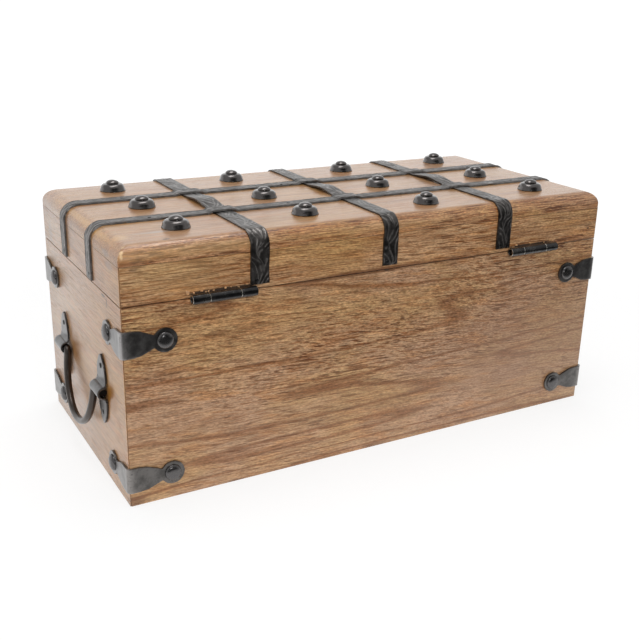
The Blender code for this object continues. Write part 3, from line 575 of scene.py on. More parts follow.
# The lid's top board: a thick plank whose four upper edges are rounded over by hand, more along the
# ends than along the sides, with a pale chip where the rounding meets the near corner.

lid_end_run = 0.0095
lid_side_run = 0.0078
lid_edge_drop = 0.0085
edge_rings = 14
lid_corner_ease = 0.0013

low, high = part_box("lid_top_board")
edge_foot = high.z - lid_edge_drop
lid_top = block("lid_top", low, (high.x, high.y, edge_foot))
pick(lid_top, "FACE", lambda co: co.z > (low.z + edge_foot) / 2)
last_x, last_y, last_rise = half_length, half_depth, 0.0
for ring in range(1, edge_rings + 1):
    angle = ring * pi / 2 / edge_rings
    next_x = half_length - lid_end_run * (1 - cos(angle))
    next_y = half_depth - lid_side_run * (1 - cos(angle))
    rise = lid_edge_drop * sin(angle)
    bpy.ops.mesh.extrude_region_move(TRANSFORM_OT_translate={"value": (0, 0, rise - last_rise)})
    bpy.ops.transform.resize(value=(next_x / last_x, next_y / last_y, 1), center_override=(0, 0, 0))
    last_x, last_y, last_rise = next_x, next_y, rise


def up_the_corner(first, second):
    """An edge of the rounding that climbs along a corner of the lid."""
    same_corner = first.x * second.x > 0 and first.y * second.y > 0 and first.z != second.z
    return same_corner and abs(first.x - second.x) < lid_end_run / 4


pick_edges(lid_top, up_the_corner)
bpy.ops.mesh.bevel(offset=lid_corner_ease, segments=4, affect="EDGES")
smooth(lid_top, 40)

grey_wash = (0.33, 0.27, 0.23, 1)
pale_chip = (0.72, 0.50, 0.28, 1)
honey_rounding_shade = (0.58, 0.34, 0.13, 1)
top_marks = (
    ((0.147, 0.0753, 0.160), (0.0032, 0.0016, 0.004), soot_and_shade, 0.8),
    ((0.142, 0.0585, 0.160), (0.026, 0.0028, 0.004), grey_wash, 0.6),
    ((0.1754, 0.0816, 0.1574), (0.0017, 0.0017, 0.0030), pale_chip, 0.95),
    ((0.1757, 0.0830, 0.1550), (0.0013, 0.0014, 0.0024), pale_chip, 0.9),
    ((0.1738, 0.0786, 0.1592), (0.0022, 0.0026, 0.0012), pale_chip, 0.6),
    ((0.1675, 0.0835, 0.1512), (0.0050, 0.0030, 0.0007), soot_and_shade, 0.6),
    ((0.178, 0.061, 0.152), (0.005, 0.009, 0.0025), scuff, 0.6),
    # Along the end's rounding a honey band on its upper part, a brown band below it and a honey spot further
    # back: painted shade where the rounding turns from the light
    ((0.1740, 0.010, 0.1575), (0.0045, 0.085, 0.0022), honey_rounding_shade, 0.5),
    ((0.1775, 0.005, 0.1535), (0.0045, 0.085, 0.0017), seam_and_shade_brown, 0.28),
    ((0.1700, 0.062, 0.160), (0.007, 0.0075, 0.003), honey_rounding_shade, 0.5),
    ((0.1350, 0.0835, 0.1545), (0.0800, 0.0060, 0.0050), straw_light, 0.35),
    ((0.0100, 0.0835, 0.1540), (0.0800, 0.0050, 0.0045), straw_light, 0.22),
)
top_tint = (0.885, 0.815, 0.735, 1)
top_calm = (("Z", 0.1592, 0.1598, 0.10), ("X", 0.163, 0.171, 0.5))
top_wood = wood("lid_top_wood", False, (0.44, 0.71, 0.33), 0.90, 0.16, 0, top_tint, top_marks, top_calm, 0.62)
hand_over(lid_top, top_wood, "lid", "lid_wood", "lid_top_board")


# The straps: flat bar beaten with a wavering feather pattern, laid over the lid and blackened. The cross
# straps bow up off the wood between the lengthwise ones, which ride up over them.

strap_thickness = 0.0009
strap_gap = 0.0003
row_pitch = 0.0005
cross_columns = 26
long_columns = 18
barb_pitch = 0.0096
barb_slant = 2.7
barb_offset = 0.4
stem_wave = 0.023
stem_swing = 0.36
barb_power = 3
stem_half = 0.0004
feather_rise = 0.00024
hammer_rise = 0.00016
# How light the long straps' edges are painted: a painted sheen on their dark sides
long_edge_sheen = 0.85
shell_play = 0.00005
crossing_margin = 0.0008
crossing_ramp = 0.004
cross_bow = 0.002
# How finely the beating wanders along a strap, in cells per metre
waver_cells = 60
bend_cells = 170
wear_cells = 120
bite_cells = 330
dent_cells = 150
ripple_cells = (70, 260)
ripple_share = 0.035
total_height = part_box("lid_top_board")[1].z
# The iron's own surface: cloudy scale, grit and pits, and the sheen of the lacquer
cloud_spread = (160, 160, 160)
grit_spread = (1500, 1500, 1500)
pit_spread = (700, 700, 700)
lacquer_roughness = 0.28
iron_strength = 0.6
beaten_depth = 1.5

usual = {
    "Vector": (0, 0, 0), "Dark": (0.012, 0.011, 0.011, 1), "Light": (0.055, 0.052, 0.053, 1),
    "Relief": 0.5, "Grit": 0.5, "Smooth": 0.34, "Rough": 0.62,
}
iron_surface, given = new_group("iron_surface", usual, ("Color", "Height", "Roughness"))
tree = iron_surface
scale_cloud = ramp(tree, stretched_noise(tree, given["Vector"], cloud_spread, 3.0, 0.6), 0.32, 0.68)
grit = stretched_noise(tree, given["Vector"], grit_spread, 2.0, 0.6)
pits = ramp(tree, stretched_noise(tree, given["Vector"], pit_spread, 2.0, 0.5), 0.56, 0.72)
raised = reckon(tree, "POWER", reckon(tree, "MAXIMUM", given["Relief"], 0.0), 1.5)
cloudy = times(tree, scale_cloud, times(tree, given["Grit"], 0.56))
raised = plus(tree, times(tree, raised, 0.85), cloudy, True)
colour = blend(tree, raised, given["Dark"], given["Light"])
colour = blend(tree, times(tree, pits, times(tree, given["Grit"], 0.8)), colour, given["Dark"])
height = minus(tree, times(tree, grit, given["Grit"]), times(tree, pits, given["Grit"]))
shine = plus(tree, times(tree, scale_cloud, 0.5), times(tree, grit, 0.5))
spread = times(tree, shine, minus(tree, given["Rough"], given["Smooth"]))
put_node(tree, "NodeGroupOutput", {"Color": colour, "Height": height,
                                   "Roughness": plus(tree, given["Smooth"], spread)})

# The beaten ridges, drawn from each place's barb count, way from the stem in millimetres, and wear
beaten_ridges, given = new_group("beaten_ridges", {"Beaten": (0, 0, 0)}, ("Relief",))
tree = beaten_ridges
parts = put_node(tree, "ShaderNodeSeparateXYZ", {0: given["Beaten"]}).outputs
swing = plus(tree, reckon(tree, "COSINE", times(tree, parts["X"], 2 * pi)), 1.0)
ridges = reckon(tree, "POWER", times(tree, swing, 0.5), barb_power)
spine = ramp(tree, reckon(tree, "ABSOLUTE", parts["Y"]), 0.15, 0.75, 1.0, 0.0)
either = times(tree, reckon(tree, "MAXIMUM", ridges, spine), parts["Z"])
put_node(tree, "NodeGroupOutput", {"Relief": either})


def iron(name, dark, light, grit=0.5, sheen=(0.34, 0.62), relief=None, bump=0.00012, lacquer=0.5):
    """Blackened iron. A relief attribute, where the mesh has one, makes places lighter: high places rubbed
    bright, a painted glint on the hinges' rims and a painted sheen on the long straps' edges.
    """
    made = bpy.data.materials.new(name)
    tree = empty_tree(made)
    coords = put_node(tree, "ShaderNodeTexCoord").outputs["Object"]
    wires = {"Vector": coords, "Dark": (*dark, 1), "Light": (*light, 1), "Grit": grit,
             "Smooth": sheen[0], "Rough": sheen[1]}
    surface = put_node(tree, "ShaderNodeGroup", wires, node_tree=iron_surface)
    height = surface.outputs["Height"]
    if relief == "beaten":
        read = put_node(tree, "ShaderNodeAttribute", attribute_name=relief).outputs["Vector"]
        ridges = put_node(tree, "ShaderNodeGroup", {"Beaten": read}, node_tree=beaten_ridges)
        pattern = ridges.outputs["Relief"]
        tree.links.new(pattern, surface.inputs["Relief"])
        height = plus(tree, height, times(tree, pattern, beaten_depth))
    elif relief:
        high_places = put_node(tree, "ShaderNodeAttribute", attribute_name=relief).outputs["Fac"]
        tree.links.new(high_places, surface.inputs["Relief"])
    wires = {"Height": height, "Strength": iron_strength, "Distance": bump}
    normal = put_node(tree, "ShaderNodeBump", wires).outputs[0]
    wires = {
        "Base Color": surface.outputs["Color"], "Roughness": surface.outputs["Roughness"], "Metallic": 1.0,
        "Normal": normal, "Coat Weight": lacquer, "Coat Roughness": lacquer_roughness,
    }
    shader = put_node(tree, "ShaderNodeBsdfPrincipled", wires).outputs[0]
    put_node(tree, "ShaderNodeOutputMaterial", {"Surface": shader})
    return made


def apply_all(piece):
    """Applies every modifier of a piece, from the first to the last."""
    alone(piece)
    for modifier in list(piece.modifiers):
        bpy.ops.object.modifier_apply(modifier=modifier.name)


def evenly(points, pitch):
    """A broken line read again at even steps: its places, and the way along it at each."""
    lengths = [0.0]
    for first, second in zip(points, points[1:]):
        lengths.append(lengths[-1] + (second - first).length)
    count = max(2, round(lengths[-1] / pitch))
    read = []
    number = 0
    for step in range(count + 1):
        place = lengths[-1] * step / count
        while number < len(points) - 2 and lengths[number + 1] < place:
            number += 1
        part = (place - lengths[number]) / (lengths[number + 1] - lengths[number])
        read.append((points[number].lerp(points[number + 1], min(1.0, part)), place))
    return read


def feather(across, along, half, seed, rim):
    """The beaten pattern at a place: its barb count, its way from the meandering stem, and its wear; on the
    long straps' edges a painted sheen.
    """
    waver = noise.noise(Vector((along * waver_cells, seed, 0))) * 1.1
    stem = stem_swing * sin(along * 2 * pi / stem_wave + seed + waver)
    aside = (across - stem) * half
    bend = noise.noise(Vector((along * bend_cells, across * 1.3, seed + 5.0)))
    other_side = barb_offset * max(0.0, min(1.0, aside / stem_half))
    barb = (along + abs(aside) * barb_slant) / barb_pitch + other_side + bend * 0.7
    worn = 0.78 + 0.6 * noise.noise(Vector((along * wear_cells, across * 2.4, seed + 9.0)))
    bites = 1.0 if noise.noise(Vector((along * bite_cells, across * 2.0, seed + 13.0))) > -0.32 else 0.25
    # On the long straps the edges take the light colour: a painted sheen
    if rim and abs(across) > 0.99:
        return 0.0, 0.0, rim
    edge = min(1.0, (1 - abs(across)) / 0.13)
    return barb, aside, max(0.0, min(1.0, worn * bites * edge))


def strap(name, path, sideways, width, columns, seed, rim=0.0):
    """Flat bar along a path, its outer face beaten in relief, with the pattern kept as an attribute."""
    rows = evenly(path, row_pitch)
    grid = begin("grid", x_subdivisions=columns, y_subdivisions=len(rows) - 1, size=2)
    piece = settle(grid, name)
    vertices = piece.data.vertices
    beaten = piece.data.attributes.new("beaten", "FLOAT_VECTOR", "POINT")
    half = width / 2
    for number, vertex in enumerate(vertices):
        row = min(len(rows) - 1, round((vertex.co.y + 1) / 2 * (len(rows) - 1)))
        across = vertex.co.x
        place, along = rows[row]
        before = rows[max(0, row - 1)][0]
        after = rows[min(len(rows) - 1, row + 1)][0]
        way = (after - before).normalized()
        outward = sideways.cross(way)
        ripple = noise.noise(Vector((along * ripple_cells[0], seed * 3.1 + (7 if across > 0 else 0), 1.5)))
        ripple += 0.5 * noise.noise(Vector((along * ripple_cells[1], seed + (3 if across > 0 else 0), 4.5)))
        spread = half * (across + (1 if across > 0 else -1) * ripple_share * ripple * abs(across))
        barb, aside, wear = feather(across, along, half, seed, rim)
        ridge = (0.5 + 0.5 * cos(2 * pi * barb)) ** barb_power
        high = max(ridge, exp(-((aside / stem_half) ** 2))) * wear
        dent = noise.noise(Vector((along * dent_cells, across * 2.2, seed + 20)))
        rise = strap_thickness / 2 + feather_rise * (high - 0.5) + hammer_rise * dent
        beaten.data[number].vector = (barb, aside * 1000, wear)
        vertices[number].co = place + sideways * spread + outward * rise
    piece.data.update()
    shell = piece.modifiers.new("thickness", "SOLIDIFY")
    shell.thickness = strap_thickness + strap_gap - shell_play
    shell.offset = -1
    apply_all(piece)
    return piece


def lid_rounding(run):
    """The rounding from its foot to the top: how far in, how far up, and the way it faces."""
    steps = []
    for step in range(25):
        angle = step * pi / 48
        out = Vector((cos(angle) * lid_edge_drop, sin(angle) * run)).normalized()
        steps.append((run * (1 - cos(angle)), lid_edge_drop * sin(angle), out))
    return steps


def over_lid(span, run, outward, place, start_height, end_height, top_points):
    """Up one side of the lid, round its edge, over the top points and down the other side."""
    off = strap_gap + strap_thickness / 2
    rounding = []
    for inset, rise, out in lid_rounding(run):
        rounding.append((span - inset + out.x * off, edge_foot + rise + out.y * off))
    level = total_height + off
    path = [(-(span + off), start_height)] + [(-along, height) for along, height in rounding]
    path += [(along, level + rise) for along, rise in top_points]
    path += list(reversed(rounding)) + [(span + off, end_height)]
    return [place + outward * along + Vector((0, 0, height)) for along, height in path]


cross_names = ("left", "middle", "right")
long_names = ("front", "back")
cross_boxes = [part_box(f"cross_strap_{name}") for name in cross_names]
long_boxes = [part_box(f"long_strap_{name}") for name in long_names]
long_ys = [(low.y + high.y) / 2 for low, high in long_boxes]
long_width = long_boxes[0][1].y - long_boxes[0][0].y
bow_half = (long_ys[1] - long_ys[0] - long_width) / 2 - crossing_margin
strap_iron = iron("strap_iron", (0.040, 0.036, 0.033), (0.30, 0.279, 0.266), 0.6, (0.32, 0.48), "beaten",
                  lacquer=0.35)

for number, name in enumerate(cross_names):
    low, high = cross_boxes[number]
    bow = []
    for step in range(33):
        part = step / 16 - 1
        bow.append((bow_half * part, cross_bow * (1 + cos(pi * part)) / 2))
    ends = []
    for side in (-1, 1):
        near = [vertex.co.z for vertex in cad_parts[f"cross_strap_{name}"].data.vertices
                if vertex.co.y * side > half_depth]
        ends.append(min(near))
    middle = Vector(((low.x + high.x) / 2, 0, 0))
    path = over_lid(half_depth, lid_side_run, Vector((0, 1, 0)), middle, ends[0], ends[1], bow)
    made = strap(f"cross_bar_{name}", path, Vector((1, 0, 0)), high.x - low.x, cross_columns,
                 3.7 * number + 1)
    smooth(made, 50)
    hand_over(made, strap_iron, "lid", "strap_iron", f"cross_strap_{name}")

for number, name in enumerate(long_names):
    low, high = long_boxes[number]
    lift = strap_thickness + strap_gap
    top = []
    for cross_low, cross_high in cross_boxes:
        start = cross_low.x - crossing_margin
        end = cross_high.x + crossing_margin
        for step in range(9):
            part = step / 8
            top.append((start - crossing_ramp * (1 - part), lift * (1 - cos(pi * part)) / 2))
        for step in range(9):
            part = step / 8
            top.append((end + crossing_ramp * part, lift * (1 + cos(pi * part)) / 2))
    middle = Vector((0, (low.y + high.y) / 2, 0))
    path = over_lid(half_length, lid_end_run, Vector((1, 0, 0)), middle, low.z, low.z, top)
    made = strap(f"long_bar_{name}", path, Vector((0, -1, 0)), high.y - low.y, long_columns,
                 2.3 * number + 40, long_edge_sheen)
    smooth(made, 50)
    hand_over(made, strap_iron, "lid", "strap_iron", f"long_strap_{name}")


# The studs: twelve hollow domes with a flared foot, each topped by a small round button, driven into
# the lid on one shank and polished by handling.

stud_profile_shares = (
    (0.34, 0.0), (0.97, 0.0), (1.0, 0.03), (0.99, 0.10), (0.955, 0.22), (0.93, 0.36), (0.905, 0.52),
    (0.87, 0.68), (0.815, 0.82), (0.74, 0.92), (0.66, 0.975), (0.57, 1.01), (0.49, 1.03), (0.455, 1.04),
    (0.452, 1.065), (0.488, 1.09), (0.497, 1.13), (0.488, 1.19), (0.462, 1.26), (0.42, 1.33), (0.362, 1.395),
    (0.29, 1.452), (0.20, 1.502), (0.10, 1.53), (0.03, 1.54),
)
stud_sides = 48
stud_top_share = 1.54
stud_shank = [(0.0006, -0.0092), (0.0013, -0.0082), (0.0013, 0.0)]
stud_dents = 0.00016
stud_dent_cells = 190
stud_foot = 0.001
stud_sag = 0.03
dent_seed = 7
stud_iron = iron("stud_iron", (0.076, 0.068, 0.065), (0.175, 0.160, 0.155), 0.4, (0.12, 0.22),
                 bump=0.00006, lacquer=0.6)


def draw_up(rings):
    """Extrudes what is selected from ring to ring, each given as (radius, height), and selects it all."""
    for (radius, height), (next_radius, next_height) in zip(rings, rings[1:]):
        bpy.ops.mesh.extrude_region_move(TRANSFORM_OT_translate={"value": (0, 0, next_height - height)})
        size = next_radius / radius
        bpy.ops.transform.resize(value=(size, size, 1), center_override=(0, 0, 0))
    bpy.ops.mesh.select_all(action="SELECT")


def turned(name, rings, sides):
    """A round form drawn up ring by ring from a disc, as (radius, height), and closed at both ends."""
    radius, height = rings[0]
    piece = begin("circle", vertices=sides, radius=radius, fill_type="NGON", location=(0, 0, height))
    piece = settle(piece, name)
    bpy.ops.object.mode_set(mode="EDIT")
    bpy.ops.mesh.select_all(action="SELECT")
    draw_up(rings)
    bpy.ops.mesh.normals_make_consistent(inside=False)
    bpy.ops.object.mode_set(mode="OBJECT")
    return piece


def copy_of(piece, name):
    """A copy with its own mesh."""
    made = piece.copy()
    made.data = piece.data.copy()
    made.name = name
    made.data.name = name
    bpy.context.scene.collection.objects.link(made)
    return made


# Without a seed, noise_vector gives other dents each run, here and in the sections below
noise.seed_set(dent_seed)

low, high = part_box("stud_front_1")
stud_radius = (high.x - low.x) / 2
foot_height = total_height + strap_gap
stud_height = (high.z - foot_height) / stud_top_share
rings = [(share * stud_radius, height * stud_height) for share, height in stud_profile_shares]
stud_pattern = turned("stud_pattern", stud_shank + rings, stud_sides)
for row in ("front", "middle", "back"):
    for column in range(1, 5):
        node = f"stud_{row}_{column}"
        low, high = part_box(node)
        seed = column * 3.3 + len(row) * 1.7
        made = copy_of(stud_pattern, f"stud_cap_{row}_{column}")
        middle = Vector(((low.x + high.x) / 2, (low.y + high.y) / 2, foot_height))
        turn = Matrix.Rotation(seed * 2.1, 4, "Z")
        for vertex in made.data.vertices:
            place = turn @ vertex.co
            if place.z > 0:
                uneven = noise.noise_vector(place * stud_dent_cells + Vector((seed, 0, seed)))
                place = place + Vector((uneven.x, uneven.y, 0)) * stud_dents * min(1, place.z / stud_foot)
                place.z *= 1 - stud_sag * abs(uneven.z)
            vertex.co = place + middle
        smooth(made, 45)
        hand_over(made, stud_iron, "lid", "stud_iron", node)
bpy.data.objects.remove(stud_pattern)


# The corner brackets: plates cut like a petal, folded round each upright corner, with a disc at the end
# of each leg held by a domed rivet.

bracket_thickness = 0.0012
bracket_corner_half = 0.0082
bracket_neck_half = 0.0038
bracket_disc = 0.0074
bracket_fold = 0.0012
bracket_columns = 14
leg_steps = 54
bracket_reach = {"upper": 0.025, "lower": 0.0268}
leaf_shares = ((0.0, 1.0), (0.25, 0.97), (0.5, 0.84), (0.75, 0.42), (1.0, 0.0))
bracket_dents = 0.00012
plate_dent_cells = 260
bracket_rim_share = 0.28
fold_wear = 0.0034
fold_middle = Vector((0.0006, 0.0006, 0))
rivet_radius = 0.0052
rivet_rise = 0.0023
rivet_sides = 36
rivet_shares = (
    (1.0, 0.0), (1.0, 0.12), (0.975, 0.28), (0.92, 0.45), (0.84, 0.60), (0.73, 0.74), (0.60, 0.85),
    (0.46, 0.925), (0.32, 0.97), (0.18, 0.993), (0.06, 1.0),
)
plate_irons = {
    "upper": iron("black_plate_iron", (0.046, 0.043, 0.041), (0.40, 0.385, 0.38), 0.5, (0.36, 0.50),
                  "relief", lacquer=1.0),
    "lower": iron("worn_plate_iron", (0.050, 0.045, 0.041), (0.285, 0.266, 0.253), 0.7, (0.36, 0.50),
                  "relief", lacquer=1.0),
}
rivet_iron = iron("rivet_iron", (0.10, 0.096, 0.096), (0.19, 0.183, 0.183), 0.2, (0.20, 0.32),
                  bump=0.00005, lacquer=0.0)


def eased(pairs, share):
    """A table of shares read smoothly at any share between."""
    for (first, low_value), (second, high_value) in zip(pairs, pairs[1:]):
        if share <= second:
            part = (share - first) / (second - first)
            part = part * part * (3 - 2 * part) * 0.35 + part * 0.65
            return low_value + (high_value - low_value) * part
    return pairs[-1][1]


def leg_half(along, reach):
    """Half the plate's width at a distance from the corner."""
    neck = reach - sqrt(bracket_disc**2 - bracket_neck_half**2)
    if along <= bracket_fold:
        return bracket_corner_half
    if along < neck:
        share = eased(leaf_shares, (along - bracket_fold) / (neck - bracket_fold))
        leaf = bracket_neck_half + (bracket_corner_half - bracket_neck_half) * share
    else:
        leaf = 0.0
    disc = sqrt(max(0.0, bracket_disc**2 - (along - reach) ** 2))
    return max(leaf, disc, 0.00025)


def round_rim(piece, width, angle):
    """Rounds the edges of a piece that are sharper than an angle, after its other modifiers."""
    rim = piece.modifiers.new("rim", "BEVEL")
    rim.width = width
    rim.segments = 2
    rim.limit_method = "ANGLE"
    rim.angle_limit = radians(angle)
    apply_all(piece)


def bent_plate(name, rows, columns, thickness, seed, dents, wear):
    """A plate from rows of (middle, half width, sideways, outward), slightly uneven, its rim rounded.

    How far each place is rubbed bright is kept as an attribute.
    """
    piece = begin("grid", x_subdivisions=columns, y_subdivisions=len(rows) - 1, size=2)
    piece = settle(piece, name)
    relief = piece.data.attributes.new("relief", "FLOAT", "POINT")
    for vertex in piece.data.vertices:
        row = min(len(rows) - 1, round((vertex.co.y + 1) / 2 * (len(rows) - 1)))
        middle, half, sideways, outward = rows[row]
        relief.data[vertex.index].value = wear(middle)
        across = vertex.co.x
        place = middle + sideways * (half * across)
        uneven = noise.noise(place * plate_dent_cells + Vector((seed, seed * 2, 0)))
        vertex.co = place + outward * (thickness / 2 + dents * uneven)
    piece.data.update()
    shell = piece.modifiers.new("thickness", "SOLIDIFY")
    shell.thickness = thickness
    shell.offset = -1
    round_rim(piece, thickness * bracket_rim_share, 50)
    return piece


def bracket_rows(reach):
    """Rows from the disc on the back, round the fold, to the disc on the right end, closest at the tips."""
    off = strap_gap + bracket_thickness / 2
    tip = reach + bracket_disc
    leg = {tip * (1 - 0.03 * (step / 10) ** 2) for step in range(11)}
    for step in range(leg_steps + 1):
        part = step / leg_steps
        leg.add(tip - (tip - bracket_fold) * (1 - (1 - part) ** 1.6 if part > 0.5 else part))
    leg = [along for along in sorted(leg, reverse=True) if along >= bracket_fold]
    up = Vector((0, 0, 1))
    rows = []
    for along in leg:
        rows.append((Vector((-along, off, 0)), leg_half(along, reach), up, Vector((0, 1, 0))))
    radius = bracket_fold + off
    for step in range(9):
        angle = pi / 2 * (1 - step / 8)
        outward = Vector((cos(angle), sin(angle), 0))
        place = Vector((-bracket_fold, -bracket_fold, 0)) + outward * radius
        rows.append((place, bracket_corner_half, up, outward))
    for along in reversed(leg):
        rows.append((Vector((off, -along, 0)), leg_half(along, reach), up, Vector((1, 0, 0))))
    return rows


def join(name, *pieces):
    """Several pieces as one."""
    alone(pieces[0])
    for piece in pieces:
        piece.select_set(True)
    bpy.ops.object.join()
    pieces[0].name = name
    pieces[0].data.name = name
    return pieces[0]


def dome(name, radius, height, place, outward, sides):
    """A rivet's or nail's domed head on a face."""
    piece = turned(name, [(share * radius, rise * height) for share, rise in rivet_shares], sides)
    turn = Vector((0, 0, 1)).rotation_difference(outward).to_matrix().to_4x4()
    piece.matrix_world = Matrix.Translation(place) @ turn
    return settle(piece, name)


corner_turns = {"back_right": 0, "back_left": 90, "front_left": 180, "front_right": 270}
for level, reach in bracket_reach.items():
    rows = bracket_rows(reach)
    for corner, degrees in corner_turns.items():
        node = f"bracket_{corner}_{level}"
        low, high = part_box(node)
        seed = degrees / 37 + reach * 900
        plate = bent_plate(f"corner_plate_{corner}_{level}", rows, bracket_columns, bracket_thickness, seed,
                           bracket_dents, lambda place: exp(-((place - fold_middle).length / fold_wear) ** 2))
        face = strap_gap + bracket_thickness
        heads = []
        for outward, place in (((0, 1, 0), (-reach, face, 0)), ((1, 0, 0), (face, -reach, 0))):
            outward, place = Vector(outward), Vector(place)
            heads.append(dome("rivet", rivet_radius, rivet_rise, place, outward, rivet_sides))
        side_x = 1 if "right" in corner else -1
        side_y = 1 if "back" in corner else -1
        middle = Vector((side_x * half_length, side_y * half_depth, (low.z + high.z) / 2))
        placed = Matrix.Translation(middle) @ Matrix.Rotation(radians(degrees), 4, "Z")
        rivets = join(f"corner_rivets_{corner}_{level}", *heads)
        for piece, material in ((plate, plate_irons[level]), (rivets, rivet_iron)):
            piece.data.transform(placed)
            smooth(piece, 40)
            hand_over(piece, material, "chest", "bracket_iron", node)


# The handles: on each end a bail of round bar hangs in two arched staples, whose pointed leaves are
# nailed to the wood.

staple_thickness = 0.0012
staple_half_width = 0.00825
staple_half_height = 0.023
staple_spacing = 0.0836
handle_height = 0.0608
bail_radius = 0.0024
bail_clearance = 0.0004
arch_flare = 0.002
arch_shoulder = 0.0045
bail_lean = radians(7)
bail_bend = 0.0029
bail_drop = 0.0365
bail_end_inset = 0.0015
bail_dents = 0.00012
bail_dent_cells = 160
bail_step = 0.0012
staple_dents = 0.0001
staple_columns = 12
staple_leaf_shares = (
    (0.0, 1.0), (0.25, 0.97), (0.5, 0.86), (0.7, 0.66), (0.85, 0.42), (0.95, 0.22), (1.0, 0.05),
)
nail_inset = 0.0075
staple_nail_radius = 0.0017
staple_nail_rise = 0.0007
staple_nail_sides = 20
handle_iron = iron("handle_iron", (0.030, 0.028, 0.028), (0.16, 0.153, 0.152), 0.7, (0.30, 0.44), "relief",
                   lacquer=0.7)
# Near-black iron for the bail's ends inside the staples' arches: painted shade of the dark arch openings
arch_shade_iron = iron("arch_shade_iron", (0.010, 0.009, 0.009), (0.03, 0.028, 0.027), 0.4, (0.40, 0.60),
                   bump=0.00008, lacquer=0.0)
bail_iron = iron("bail_iron", (0.036, 0.029, 0.025), (0.10, 0.080, 0.069), 0.4, (0.28, 0.42), bump=0.00008)
nail_iron = iron("nail_iron", (0.02, 0.02, 0.02), (0.06, 0.06, 0.06), 0.2, (0.18, 0.34), bump=0.00004)


def staple_rows():
    """Rows down a staple of the right end, about the bail's axis above the wood."""
    proud = bail_radius + bail_clearance
    arch = proud + staple_thickness / 2
    leaf_off = strap_gap + staple_thickness / 2
    foot = arch + arch_flare
    line = []
    for step in range(31):
        share = 1 - step / 30
        along = foot + (staple_half_height - foot) * share
        line.append((Vector((leaf_off, 0, along)), staple_half_width * eased(staple_leaf_shares, share)))
    bend = []
    for step in range(1, 8):
        part = step / 8
        off = leaf_off + (proud - leaf_off) * part**1.3
        bend.append((Vector((off, 0, foot - arch_flare * part * part * (3 - 2 * part))), staple_half_width))
    for step in range(13):
        angle = pi / 2 * (1 - step / 12)
        bend.append((Vector((proud + arch * cos(angle), 0, arch * sin(angle))), staple_half_width))
    line += bend
    line += [(Vector((place.x, 0, -place.z)), half) for place, half in reversed(line[:-1])]
    rows = []
    for number, (place, half) in enumerate(line):
        before = line[max(0, number - 1)][0]
        after = line[min(len(line) - 1, number + 1)][0]
        way = (after - before).normalized()
        rows.append((place, half, Vector((0, -1, 0)), Vector((0, -1, 0)).cross(way)))
    return rows


def arch_wear(place):
    """How far a staple is rubbed bright: most on the shoulders of its arch."""
    return 0.25 + 0.5 * exp(-((place.x / arch_shoulder - 1) ** 2) * 3)


def bail_line():
    """The bar's middle line on the right end: one turned end, the grip and the other end."""
    down = Vector((sin(bail_lean), 0, -cos(bail_lean)))
    back = Vector((0, 1, 0))
    arm = (staple_spacing - 2 * staple_half_width) / 2 - bail_clearance - bail_radius
    end = (staple_spacing + 2 * staple_half_width) / 2 - bail_end_inset
    half = [back * end, back * (arm + bail_bend * 2.2)]
    for step in range(9):
        angle = pi / 2 + pi / 2 * step / 8
        out = back * (arm + bail_bend + bail_bend * cos(angle))
        half.append(out + down * (bail_bend - bail_bend * sin(angle)))
    for step in range(1, 19):
        angle = step * pi / 36
        half.append(back * (arm * cos(angle)) + down * (bail_bend + (bail_drop - bail_bend) * sin(angle)))
    return half + [Vector((place.x, -place.y, place.z)) for place in reversed(half[:-1])]


def bar(name, points, radius, resolution=6):
    """Round bar along points, its ends closed."""
    alone()
    bpy.ops.curve.primitive_nurbs_path_add()
    piece = bpy.context.object
    curve = piece.data
    curve.splines.clear()
    curve.dimensions = "3D"
    curve.bevel_depth = radius
    curve.bevel_resolution = resolution
    curve.use_fill_caps = True
    spline = curve.splines.new("POLY")
    spline.points.add(len(points) - 1)
    for control, place in zip(spline.points, points):
        control.co = (*place, 1.0)
    bpy.ops.object.convert(target="MESH")
    piece = bpy.context.object
    pick(piece, "VERT", lambda co: True)
    bpy.ops.mesh.remove_doubles(threshold=0.00001)
    bpy.ops.object.mode_set(mode="OBJECT")
    return settle(piece, name)


for side, outward, degrees in (("right", 1, 0), ("left", -1, 180)):
    proud = bail_radius + bail_clearance
    axis = Vector((outward * (half_length + proud), 0, handle_height))
    made = bar(f"{side}_bail", [place for place, _ in evenly(bail_line(), bail_step)], bail_radius)
    for vertex in made.data.vertices:
        uneven = noise.noise_vector(vertex.co * bail_dent_cells + Vector((degrees, 0, 0)))
        vertex.co += uneven * bail_dents
    made.data.transform(Matrix.Translation(axis) @ Matrix.Rotation(radians(degrees), 4, "Z"))
    smooth(made, 50)
    hand_over(made, bail_iron, f"{side}_bail", "handle_iron", f"{side}_handle_bail")
    # The bail's end faces inside the arches take the near-black iron: painted shade
    made.data.materials.append(arch_shade_iron)
    for face in made.data.polygons:
        face.material_index = 1 if abs(face.normal.y) > 0.8 and abs(face.center.y) > staple_spacing / 2 else 0
    for number, place_name in enumerate(("front", "back")):
        node = f"{side}_handle_staple_{place_name}"
        middle = Vector((outward * half_length, (-1, 1)[number] * staple_spacing / 2, handle_height))
        placed = Matrix.Translation(middle) @ Matrix.Rotation(radians(degrees), 4, "Z")
        seed = number * 4.1 + degrees / 50
        plate = bent_plate(f"{side}_staple_{place_name}", staple_rows(), staple_columns, staple_thickness,
                           seed, staple_dents, arch_wear)
        face = strap_gap + staple_thickness
        heads = []
        for height in (staple_half_height - nail_inset, nail_inset - staple_half_height):
            heads.append(dome("nail", staple_nail_radius, staple_nail_rise, Vector((face, 0, height)),
                              Vector((1, 0, 0)), staple_nail_sides))
        nails = join(f"{side}_staple_nails_{place_name}", *heads)
        for piece, material in ((plate, handle_iron), (nails, nail_iron)):
            piece.data.transform(placed)
            smooth(piece, 40)
            hand_over(piece, material, "chest", "handle_iron", node)


